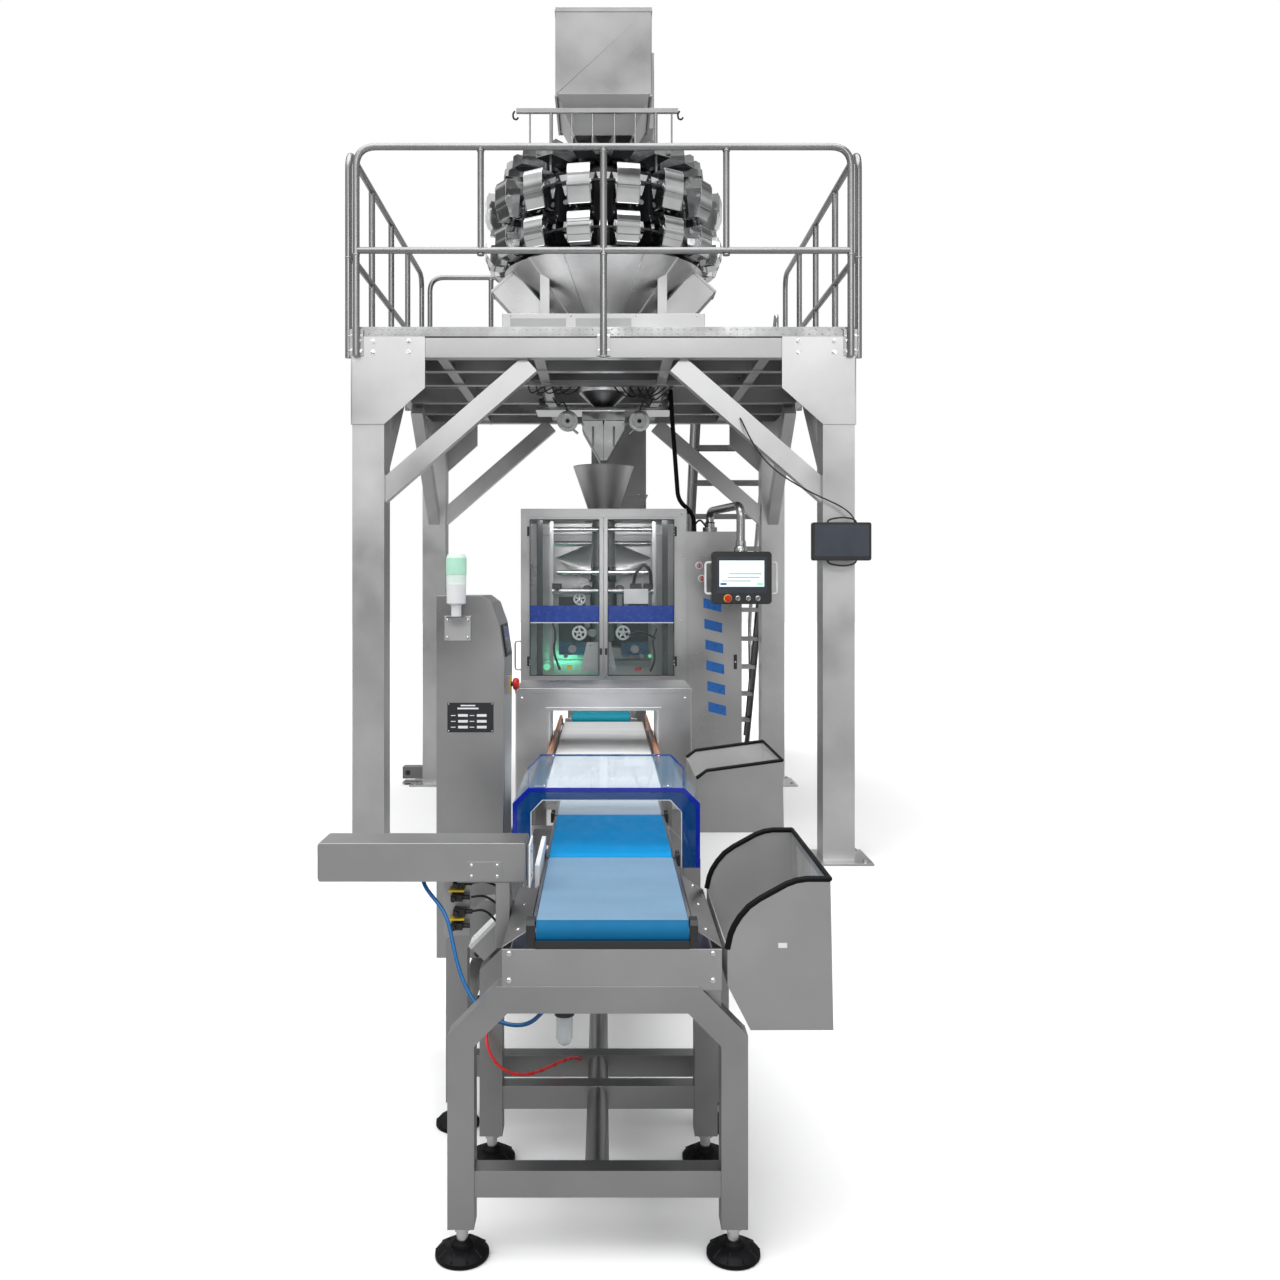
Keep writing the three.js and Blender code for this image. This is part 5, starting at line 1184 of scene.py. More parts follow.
def ring_wheel(solid, x, y, z, radius, hub):
    """A spoked transport wheel on a shaft along Y."""
    solid.use(WHITE).ring(radius * 0.72, radius, 0, 0.02, (x, y, z), "y", 32)
    solid.disc(hub, 0.004, 0.016, (x, y, z), "y", 24)
    for k in range(5):
        a = math.radians(72 * k + 15)
        inner = (x + hub * 0.8 * math.cos(a), y - 0.01, z + hub * 0.8 * math.sin(a))
        outer = (x + radius * 0.78 * math.cos(a), y - 0.01, z + radius * 0.78 * math.sin(a))
        solid.rod(inner, outer, 0.006, sides=8)
    solid.use(BOLT).rod((x, y + 0.02, z), (x, y - 0.03, z), hub * 0.35, sides=14)


def make_sealer_inside():
    parts = Solid()
    back = 1.0
    parts.use(STEEL_ALONG)
    for z in (1.86, 1.50, 0.985):
        parts.box(-0.45, 0.44, back - 0.05, back - 0.03, z, z + 0.028)
    parts.use(CORE)
    for x in (-0.40, 0.385):
        parts.box(x - 0.018, x + 0.018, 0.40, 0.43, 0.955, 1.93)
    parts.use(STEEL_UP)
    for x in (-0.335, 0.325):
        parts.box(x - 0.012, x + 0.012, 0.62, 0.66, 0.955, 1.93)
    parts.use(TUBE_STEEL)
    for y, z in ((0.66, 1.88), (0.97, 1.80), (0.60, 1.48)):
        parts.rod((-0.33, y, z), (0.32, y, z), 0.016)
    parts.use(POLISHED).rod((-0.30, 0.66, 1.6), (0.29, 0.66, 1.6), 0.016)
    parts.use(BLACK)
    for x in (-0.30, 0.29):
        parts.box(x - 0.03, x + 0.03, 0.6, 0.68, 1.47, 1.53)
        parts.rod((x, 0.60, 1.50), (x, 0.56, 1.50), 0.018)
    clip = [(0.19, 0.62, 1.50), (0.2, 0.56, 1.58), (0.25, 0.55, 1.66), (0.3, 0.58, 1.62),
            (0.31, 0.62, 1.48)]
    parts.bent(clip, 0.04, 0.011, 12, 5)
    parts.use(WHITE).box(0.13, 0.285, 0.52, 0.62, 1.40, 1.495)
    parts.use(BLACK).box(0.17, 0.245, 0.55, 0.62, 1.495, 1.53)
    ring_wheel(parts, -0.155, 0.62, 1.43, 0.04, 0.014)
    ring_wheel(parts, -0.155, 0.55, 1.213, 0.047, 0.018)
    ring_wheel(parts, 0.125, 0.57, 1.213, 0.047, 0.018)
    parts.use(STEEL_DARK)
    parts.disc(0.026, 0, 0.016, (-0.07, 0.55, 1.213), "y", 12)
    for x in (-0.2, 0.2):
        parts.use(DRIVE_TEAL).box(x - 0.085, x + 0.085, 0.6, 0.64, 1.07, 1.15)
        parts.use(STEEL_DARK).rod((x, 0.56, 1.11), (x, 0.6, 1.11), 0.026, sides=24)
    parts.use(STEEL_ALONG)
    cover = [(-0.145, 0.975), (0.085, 0.975), (0.045, 1.16), (-0.105, 1.16)]
    parts.prism(cover, "y", 0.44, 0.455)
    parts.use(BOLT)
    for x, z in ((-0.115, 1.0), (0.055, 1.0), (-0.085, 1.14), (0.025, 1.14)):
        parts.dome((x, 0.44, z), (0, -1, 0), 0.006)
    parts.use(GREEN_LIGHT)
    parts.rod((-0.36, 0.52, 1.0), (-0.36, 0.5, 1.0), 0.022)
    parts.rod((0.3, 0.66, 1.06), (0.3, 0.64, 1.06), 0.012)
    parts.use(YELLOW).box(-0.23, -0.2, 0.5, 0.52, 0.985, 1.01)
    parts.use(RED).box(0.2, 0.24, 0.52, 0.54, 0.975, 0.995)
    parts.use(BLACK)
    loops = [
        [(0.34, 0.56, 1.24), (0.31, 0.5, 1.17), (0.33, 0.5, 1.05), (0.3, 0.55, 0.97)],
        [(-0.33, 0.56, 1.3), (-0.3, 0.5, 1.21), (-0.32, 0.5, 1.1), (-0.28, 0.55, 0.98)],
        [(0.16, 0.55, 1.2), (0.24, 0.5, 1.23), (0.33, 0.52, 1.18)],
        [(-0.42, 0.9, 1.9), (-0.41, 0.6, 1.6), (-0.425, 0.6, 1.3), (-0.41, 0.9, 1.0)],
    ]
    for loop in loops:
        parts.bent(loop, 0.06, 0.007, 10, 6)
    parts.use(CORE).box(-0.3, -0.02, 0.94, 0.96, 1.06, 1.44)
    parts.box(0.03, 0.3, 0.94, 0.96, 1.06, 1.44)
    parts.use(POLISHED)
    for x in (-0.24, 0.24):
        parts.rod((x, 0.48, 1.07), (x, 0.96, 1.07), 0.014)
    parts.piece("sealer_rollers_and_drives", LINE, "black_plastic", 0.001)


def make_wing(collar, side):
    """One kite-shaped half of the shoulder, bulging forward, that narrows to its outer tip."""
    steps, across, sheet = 12, 9, 0.003
    points = []
    for layer in (0, sheet):
        for i in range(steps + 1):
            t = i / steps
            open_part = 1 - 0.96 * t
            for k in range(across):
                u = 2 * k / (across - 1) - 1
                y = 0.10 * u * open_part - 0.055 * (1 - u * u) * open_part
                z = 1.675 + 0.02 * t + 0.125 * u * open_part
                points.append((side * (0.082 + 0.23 * t), y + layer, z))
    count = (steps + 1) * across
    faces = []
    for i in range(steps):
        for k in range(across - 1):
            a, b = i * across + k, (i + 1) * across + k
            faces.append((a, b, b + 1, a + 1))
            faces.append((a + count + 1, b + count + 1, b + count, a + count))
    rim = list(range(across)) + [(i + 1) * across - 1 for i in range(1, steps + 1)]
    rim += [steps * across + k for k in range(across - 2, -1,
                                              -1)] + [i * across for i in range(steps - 1, 0, -1)]
    faces += [(b, a, a + count, b + count) for a, b in zip(rim, rim[1:] + rim[:1])]
    collar.use(STEEL_LIGHT).add(points, faces)


def make_forming_set():
    tube = Solid()
    tube.place = Matrix.Translation((0, AXIS_Y, 0))
    tube.use(STEEL_LIGHT).lathe([
        (0.072, 1.15), (0.075, 1.15), (0.075, 1.96), (0.107, 2.03), (0.197, 2.292), (0.1999, 2.296),
        (0.1985, 2.3),
        (0.1955, 2.298), (0.104, 2.032), (0.072, 1.962)], (0, 0, 0), "z", 64)
    tube.use(POLISHED).ring(0.0755, 0.1, 1.985, 1.9905, (0, 0, 0), "z", 48)
    tube.piece("forming_tube_turned", LINE, "polished_stainless", 0.0, ["forming_tube"])
    collar = Solid()
    collar.place = Matrix.Translation((0, AXIS_Y, 0))
    collar.use(POLISHED).lathe([(0.079, 1.54), (0.094, 1.54), (0.0945, 1.545), (0.0945, 1.635),
                                (0.09, 1.64), (0.079, 1.64)], (0, 0, 0), "z", 56)
    collar.use(STEEL_DARK).box(-0.058, 0.058, 0.082, 0.2145, 1.547, 1.573)
    for side in (-1, 1):
        make_wing(collar, side)
    collar.piece("forming_shoulder", LINE, "polished_stainless", 0.0, ["forming_collar"])


def make_pull_belt(node, body, side):
    _, _, y0, _, z0, z1 = ends(node)
    near, far = side * 0.076, side * 0.136
    mid = (near + far) / 2
    unit = Solid()
    ring = arc(mid, z1 - 0.03, 0.0295, 0, 180, 12) + arc(mid, z0 + 0.03, 0.0295, 180, 360, 12)
    inner = arc(mid, z1 - 0.03, 0.0245, 0, 180, 12) + arc(mid, z0 + 0.03, 0.0245, 180, 360, 12)
    unit.use(RUBBER).frame(ring, inner, "y", y0 + 0.001, y0 + 0.059)
    unit.use(STEEL_DARK)
    for z in (z0 + 0.03, z1 - 0.03):
        unit.disc(0.0245, 0, 0.05, (mid, y0 + 0.055, z), "y", 28)
        unit.use(BOLT).dome((mid, y0 + 0.004, z), (0, -1, 0), 0.008).use(STEEL_DARK)
    unit.box(mid - 0.018, mid + 0.018, y0 + 0.008, y0 + 0.052, z0 + 0.06, z1 - 0.06)
    unit.use(STEEL_UP).box(*sorted((far - side * 0.001, side * 0.1655)), y0 + 0.0055, y0 + 0.1195,
                           z0 + 0.11, z1 - 0.1)
    unit.use(BOLT)
    for z in (z0 + 0.125, z1 - 0.115):
        unit.dome((side * 0.15, y0 + 0.0055, z), (0, -1, 0), 0.005)
    unit.piece(node + "_unit", body, "belt_rubber_black", 0.001, [node])


def make_jaw(node, body, inward):
    x0, x1, y0, y1, z0, z1 = ends(node)
    jaw = Solid().use(STEEL_DARK)
    back, face = (y0, y1) if inward > 0 else (y1, y0)
    jaw.box(x0, x1, *sorted((back, face - inward * 0.012)), z0, z1)
    teeth = 22
    step = (z1 - z0 - 0.008) / teeth
    outline = [(z0 + 0.004, face - inward * 0.012)]
    for i in range(teeth):
        z = z0 + 0.004 + step * i
        outline += [(z + step * 0.25, face), (z + step * 0.6, face),
                    (z + step * 0.85, face - inward * 0.0025)]
    outline.append((z1 - 0.004, face - inward * 0.012))
    jaw.use(POLISHED).prism([(y, z) for z, y in outline], "x", x0 + 0.012, x1 - 0.012)
    jaw.use(COPPER)
    for x in (-0.1, 0.1):
        jaw.rod((x, (y0 + y1) / 2, z1 - 0.001), (x, (y0 + y1) / 2, z1), 0.008)
    jaw.piece(node + "_block", body, "drum_steel", 0.0015, [node])


def make_film_roll():
    x0, x1, y0, y1, z0, z1 = ends("film_roll")
    cy, cz = (y0 + y1) / 2, (z0 + z1) / 2
    reel = Solid()
    reel.use(FILM).lathe([(0.05, -0.229), (0.169, -0.229), (0.17, -0.225), (0.17, 0.225), (0.169, 0.229),
                          (0.05, 0.229)], (0, cy, cz), "x", 64)
    reel.use(COPPER).ring(0.042, 0.051, -0.2295, 0.2295, (0, cy, cz), "x", 40)
    reel.use(TUBE_STEEL).lathe([(0, x0), (0.018, x0), (0.0195, x0 + 0.003), (0.0195, x1 - 0.003),
                                (0.018, x1), (0, x1)], (0, cy, cz), "x", 32)
    reel.use(BLACK)
    for x in (-0.226, 0.226):
        reel.ring(0.019, 0.043, -0.003, 0.003, (x, cy, cz), "x", 32)
    reel.piece("film_reel_wound", "film_reel", "film", 0.001, ["film_roll"])


# ---- electric cabinet, operator panel, weight display ---------------------------------------
def make_cabinet():
    keep_node("electric_cabinet", STEEL_UP, 0.003)
    x0, x1 = 0.5103, 0.854
    front = 0.30
    trim = Solid().use(STEEL_UP)
    trim.box(x0 + 0.012, x1 - 0.012, front - 0.0022, front, 0.09, 1.81)
    trim.use(DECAL_BLUE)
    y = front - 0.0024
    mid = 0.672
    for k in range(6):
        z = 1.44 - 0.128 * k
        stripe = [(mid - 0.055, z), (mid + 0.055, z - 0.028), (mid + 0.055, z - 0.088),
                  (mid - 0.055, z - 0.06)]
        trim.prism([(x + 0.006 * k, zz) for x, zz in stripe], "y", y - 0.0008, y)
    trim.use(BLACK)
    trim.box(x1 - 0.05, x1 - 0.03, front - 0.006, front - 0.002, 1.0, 1.09)
    trim.use(BOLT).rod((x1 - 0.04, front - 0.006, 1.045), (x1 - 0.04, front - 0.0085, 1.045), 0.006)
    for x, z in ((0.590, 1.640), (0.606, 1.560)):
        trim.use(WHITE).disc(0.0235, 0, -0.002, (x, front - 0.0022, z), "y", 28)
        trim.use(RED).box(x - 0.004, x + 0.004, 0.2698, 0.286, z - 0.0155, z + 0.0155)
    trim.use(RED)
    for x, z in ((0.590, 1.640), (0.606, 1.560)):
        trim.disc(0.0165, 0, -0.024, (x, 0.2995, z), "y", 24)
    trim.use(BLACK)
    wires = [(0.64, 0.36, 1.88), (0.6, 0.33, 1.93), (0.57, 0.36, 1.9), (0.56, 0.42, 1.85)]
    trim.bent(wires, 0.03, 0.006, 10, 5)
    thick = [(0.585, 0.6, 1.85), (0.58, 0.6, 1.98), (0.48, 0.59, 2.06), (0.44, 0.585, 2.6),
             (0.43, 0.585, 2.7745)]
    trim.use(RUBBER).bent(thick, 0.06, 0.0142, 16, 8)
    trim.piece("electric_cabinet_trim", LINE, "brushed_stainless", 0.0005)


def make_arm():
    arm = Solid().use(TUBE_STEEL)
    route = [(0.665, 0.39, 1.8805), (0.665, 0.39, 1.98), (0.79, -0.19, 1.98), (0.79, -0.19, 1.7455)]
    arm.bent(route, 0.07, 0.0248, 24, 10)
    for p, q in (((0.665, 0.39, 1.8805), (0.665, 0.39, 1.91)),
                 ((0.79, -0.19, 1.7455), (0.79, -0.19, 1.775))):
        arm.rod(p, q, 0.031, 0.029, 24)
    arm.use(BLACK).rod((0.665, 0.39, 1.905), (0.665, 0.39, 1.912), 0.032, sides=24)
    arm.piece("panel_arm_tube", "swing_arm", "brushed_stainless", 0.0, ["panel_arm"])


def rounded_outline(x0, x1, z0, z1, radius, steps=6):
    return (arc(x1 - radius, z0 + radius, radius, -90, 0,
                steps) + arc(x1 - radius, z1 - radius, radius, 0, 90, steps)
            + arc(x0 + radius, z1 - radius, radius, 90, 180,
                  steps) + arc(x0 + radius, z0 + radius, radius, 180, 270, steps))


def make_panel():
    x0, x1, z0, z1 = 0.62, 0.965, 1.41, 1.712
    front = -0.22
    panel = Solid().use(BLACK)
    panel.prism(rounded_outline(x0, x1, z0, z1, 0.022), "y", front + 0.004, -0.142)
    panel.prism(rounded_outline(x0 + 0.004, x1 - 0.004, z0 + 0.004, z1 - 0.004, 0.02), "y", front,
                front + 0.006)
    panel.box(x0 + 0.05, x1 - 0.05, -0.1425, -0.1402, z0 + 0.06, z1 - 0.06)
    panel.use(SCREEN_DARK).prism(rounded_outline(x0 + 0.028, x1 - 0.028, z0 + 0.062, z1 - 0.03, 0.006), "y",
                                 front - 0.0015, front + 0.001)
    panel.use(SCREEN).box(x0 + 0.044, x1 - 0.044, front - 0.0025, front - 0.0012, z0 + 0.1, z1 - 0.052)
    panel.use(STEEL_DARK)
    for z, left, right in ((z0 + 0.172, 0.10, 0.06), (z0 + 0.152, 0.09, 0.07), (z0 + 0.131, 0.06, 0.12)):
        panel.box(x0 + left, x1 - right, front - 0.003, front - 0.0024, z, z + 0.004)
    panel.use(BAND_BLUE).box(x0 + 0.05, x0 + 0.085, front - 0.003, front - 0.0024, z0 + 0.11, z0 + 0.121)
    panel.use(GREEN_LIGHT).box(x1 - 0.085, x1 - 0.052, front - 0.003, front - 0.0024, z0 + 0.11, z0 + 0.121)
    for x in (0.770, 0.830, 0.885):
        panel.use(POLISHED).lathe([(0.01, 0), (0.0148, 0), (0.0148, -0.006), (0.012, -0.0078),
                                   (0.01, -0.006)], (x, front, 1.443), "y", 28)
        panel.use(STEEL_DARK).disc(0.0102, 0, -0.004, (x, front, 1.443), "y", 24)
    panel.use(YELLOW).ring(0.0095, 0.0235, 0, -0.0012, (0.712, front, 1.443), "y", 28)
    panel.use(WHITE)
    for x, out in ((0.627, -1), (0.958, 1)):
        loop = [(x, -0.19, 1.47), (x + out * 0.04, -0.19, 1.47), (x + out * 0.04, -0.19, 1.65),
                (x, -0.19, 1.65)]
        panel.bent(loop, 0.016, 0.0068, 14, 5)
    panel.use(TUBE_STEEL).lathe([(0, 0), (0.0395, 0), (0.0395, 0.02), (0.032, 0.0325), (0, 0.0325)],
                                (0.79, -0.185, 1.7115), "z", 28)
    panel.piece("operator_panel_case", "panel", "black_plastic", 0.001, ["operator_panel"])
    button = Solid().use(RED)
    button.lathe([(0, -0.0005), (0.016, -0.0005), (0.0195, -0.004), (0.0198, -0.010), (0.014, -0.0155),
                  (0, -0.0155)], (0.712, -0.2285, 1.443), "y", 32)
    button.use(BLACK).disc(0.0078, 0, -0.016, (0.712, -0.2125, 1.443), "y", 20)
    button.piece("panel_stop_mushroom", "panel_stop", "stop_red", 0.0, ["panel_stop_button"])


def make_display():
    x0, x1, y0, _, z0, z1 = ends("weight_display")
    case = Solid().use(BLACK)
    case.prism(rounded_outline(x0, x1, z0, z1, 0.012), "y", y0 + 0.003, -0.577)
    case.prism(rounded_outline(x0 + 0.003, x1 - 0.003, z0 + 0.003, z1 - 0.003, 0.01), "y", y0, y0 + 0.005)
    case.use(SCREEN_DARK).box(x0 + 0.014, x1 - 0.014, y0 - 0.0012, y0 + 0.001, z0 + 0.022, z1 - 0.014)
    case.use(STEEL_ALONG).box(1.245, 1.325, -0.5775, -0.5155, 1.715, 1.795)
    case.use(BOLT)
    for x in (1.262, 1.308):
        case.dome((x, -0.577, 1.807), (0, 0, 1), 0.004)
    case.use(BLACK)
    for side, z in ((-1, z0), (1, z1)):
        loop = [(1.21, -0.59, z - side * 0.004), (1.22, -0.592, z + side * 0.018),
                (1.30, -0.594, z + side * 0.03),
                (1.36, -0.592, z + side * 0.018), (1.37, -0.59, z - side * 0.004)]
        case.bent(loop, 0.03, 0.005, 12, 5)
    case.piece("weight_display_case", LINE, "black_plastic", 0.0008, ["weight_display"])


make_sealer_shell()
make_door("door_left", "door_l", -1)
make_door("door_right", "door_r", 1)
make_sealer_inside()
make_forming_set()
make_pull_belt("pull_belt_left", "pull_belt_l", -1)
make_pull_belt("pull_belt_right", "pull_belt_r", 1)
make_jaw("sealing_jaw_front", "jaw_front", 1)
make_jaw("sealing_jaw_rear", "jaw_rear", -1)
make_film_roll()
make_cabinet()
make_arm()
make_panel()
make_display()


# ---- conveyors and metal detector -----------------------------------------------------------
DRUM_LOOP = 0.028
BELT_SKIN = 0.0028
BELT_INSET = 0.002         # how far a roller stays inside the belt on each side


def make_belt(node, material, slot, sheen_top_material=None):
    x0, x1, y0, y1, _, z1 = ends(node)
    axle = z1 - DRUM_LOOP

    def loop(radius):
        return arc(y1 - DRUM_LOOP, axle, radius, -90, 90,
                   14) + arc(y0 + DRUM_LOOP, axle, radius, 90, 270, 14)

    skin = Solid().use(material).frame(loop(DRUM_LOOP), loop(DRUM_LOOP - BELT_SKIN), "x", x0, x1)
    # Painted sheen: the optional top skin is a paler copy of the belt colour, a painted reflection of the
    # sky on the flat top.
    if sheen_top_material:
        skin.use(sheen_top_material).box(x0 + 0.0005, x1 - 0.0005, y0 + DRUM_LOOP * 0.8, y1 - DRUM_LOOP,
                                   z1 - 0.0004, z1 + 0.0003)
    skin.piece(node + "_loop", LINE, slot, 0.0, [node])


def foot_cover(solid, x, y, top):
    """Rubber pad, ball cup, threaded stud and lock nut of a levelling foot."""
    solid.use(RUBBER).lathe([(0, 0.0003), (0.058, 0.0003), (0.061, 0.004), (0.061, 0.012), (0.054, 0.02),
                             (0.043, 0.0265), (0, 0.0275)], (x, y, 0), "z", 36)
    for k in range(10):
        a = 2 * math.pi * k / 10
        c, s = math.cos(a), math.sin(a)
        solid.rod((x + 0.04 * c, y + 0.04 * s, 0.026), (x + 0.059 * c, y + 0.059 * s, 0.014), 0.0035,
                  sides=6)
    solid.lathe([(0, 0.027), (0.026, 0.027), (0.024, 0.034), (0.0165, 0.04), (0, 0.04)], (x, y, 0), "z", 28)
    solid.use(BOLT).disc(0.0135, 0.038, top, (x, y, 0), "z", 20)
    solid.rod((x, y, top - 0.014), (x, y, top), 0.02, sides=6)


def make_feet():
    feet = Solid()
    for y in (-0.3, 0.2):
        for x in (-0.199, 0.171):
            foot_cover(feet, x, y, 0.041)
    for y in (-2.4, -0.7):
        for x in (-0.243, 0.243):
            foot_cover(feet, x, y, 0.061)
    for y in (-1.555, -1.225):
        for x in (-0.34, 0.34):
            foot_cover(feet, x, y, 0.061)
    for x0, x1, y in ((-0.35, 0.324, -4.269), (-0.325, 0.299, -3.825), (-0.44, 0.35, -3.625),
                      (-0.44, 0.35, -2.67)):
        foot_cover(feet, x0 + 0.03, y, 0.0755)
        foot_cover(feet, x1 - 0.03, y, 0.0755)
    for x in (-0.48, 0.48):
        for y in (0.345, 1.225):
            foot_cover(feet, x, y, 0.0605)
    for x in (0.6, 0.79):
        for y in (0.35, 0.95):
            foot_cover(feet, x, y, 0.0605)
    feet.piece("levelling_feet", LINE, "black_plastic")


def make_detector():
    keep_node("detector_head", STEEL_LIGHT, 0.006)
    keep_node("detector_stand", FRAME_STEEL_SHADED, 0.002)
    x0, x1, y0, y1, z0, z1 = ends("detector_head")
    trim = Solid().use(STEEL_LIGHT)
    lid = [(x0 - 0.003, z1 - 0.018), (x0 - 0.003, z1 + 0.0005), (x0 + 0.01, z1 + 0.004),
           (x1 - 0.01, z1 + 0.004),
           (x1 + 0.003, z1 + 0.0005), (x1 + 0.003, z1 - 0.018)]
    trim.prism(lid, "y", y0 - 0.003, y1 + 0.003)
    low, high, left, right = 0.64, 0.953, -0.25, 0.25
    for y, out in ((y0, -1), (y1, 1)):
        outline = rect(left - 0.012, right + 0.012, low - 0.012, high + 0.012)
        inner = rect(left + 0.002, right - 0.002, low + 0.002, high - 0.002)
        trim.frame(outline, inner, "y", *sorted((y, y + out * 0.004)))
    trim.use(WHITE)
    trim.box(left, left + 0.003, y0 + 0.004, y1 - 0.004, low + 0.001, high - 0.001)
    trim.box(right - 0.003, right, y0 + 0.004, y1 - 0.004, low + 0.001, high - 0.001)
    trim.box(left + 0.003, right - 0.003, y0 + 0.004, y1 - 0.004, high - 0.004, high - 0.001)
    trim.use(BOLT)
    for x in (x0 + 0.03, x1 - 0.03):
        for z in (z0 + 0.04, z1 - 0.04):
            trim.dome((x, y0, z), (0, -1, 0), 0.006)
            trim.dome((x, y1, z), (0, 1, 0), 0.006)
    trim.piece("detector_head_trim", LINE, "brushed_stainless", 0.001)
    guides = Solid()
    for side in (-1, 1):
        guides.use(COPPER).box(*sorted((side * 0.2262, side * 0.24)), -1.95, -0.46, 0.757, 0.802)
        guides.use(STEEL_DARK)
        for y in (-1.9, -1.05, -0.52):
            guides.box(*sorted((side * 0.2205, side * 0.2262)), y - 0.012, y + 0.012, 0.7, 0.79)
    guides.use(STEEL_DARK)
    motor_y = -0.9
    guides.box(-0.06, 0.06, motor_y - 0.05, motor_y + 0.05, 0.62, 0.7205)
    guides.rod((0.06, motor_y, 0.665), (0.2, motor_y, 0.665), 0.043, sides=28)
    guides.use(BLACK).rod((0.2, motor_y, 0.665), (0.212, motor_y, 0.665), 0.044, 0.04, 28)
    guides.piece("detector_belt_guides", LINE, "frame_stainless", 0.001)


def make_conveyors():
    keep_node("takeaway_frame", FRAME_STEEL_SHADED, 0.002)
    make_belt("takeaway_belt", BELT_TEAL, "belt_teal")
    make_belt("detector_belt", BELT_WHITE, "belt_white")
    # Outfeed belt: loop with painted shade on its curved ends, top skin with a painted sky reflection.
    make_belt("outfeed_belt", BELT_SHADE_LOOP, "belt_pale_blue", BELT_SHEEN_TOP)
    make_belt("weigh_belt", BELT_BLUE, "belt_blue")
    make_belt("infeed_belt", BELT_MIST, "belt_pale_blue")
    rollers = Solid()
    for node in ("takeaway_belt", "detector_belt", "weigh_belt", "infeed_belt"):
        x0, x1, y0, y1, _, z1 = ends(node)
        for y in (y0 + DRUM_LOOP, y1 - DRUM_LOOP):
            z = z1 - DRUM_LOOP
            rollers.use(TUBE_STEEL).rod((x0 + BELT_INSET, y, z), (x1 - BELT_INSET, y, z), 0.0245, sides=32)
            rollers.use(BLACK).rod((x0 - 0.0018, y, z), (x0 + 0.001, y, z), 0.02, sides=28)
            rollers.rod((x1 - 0.001, y, z), (x1 + 0.0018, y, z), 0.02, sides=28)
            rollers.use(BOLT).rod((x0 - 0.014, y, z), (x1 + 0.014, y, z), 0.008, sides=16)
    rollers.piece("conveyor_rollers", LINE, "drum_steel", 0.0008)
    for name, body in (("outfeed_drum_front", "drum_front"), ("outfeed_drum_rear", "drum_rear")):
        x0, x1, y0, y1, z0, z1 = ends(name)
        centre = ((x0 + x1) / 2, (y0 + y1) / 2, (z0 + z1) / 2)
        half = (x1 - x0) / 2
        profile = [(0, -half), (0.009, -half), (0.01, -half + 0.001), (0.01, -half + 0.0095),
                   (0.0225, -half + 0.0105),
                   (0.0236, -half + 0.012), (0.0236, half - 0.012), (0.0225, half - 0.0105),
                   (0.01, half - 0.0095),
                   (0.01, half - 0.001), (0.009, half), (0, half)]
        drum = Solid().use(TUBE_STEEL).lathe(profile, centre, "x", 48)
        drum.use(STEEL_DARK).box(centre[0] - half + 0.0002, centre[0] - half + 0.004, centre[1] - 0.002,
                                 centre[1] + 0.002, centre[2] + 0.007, centre[2] + 0.0101)
        drum.piece(name + "_turned", body, "drum_steel", 0.0, [name])


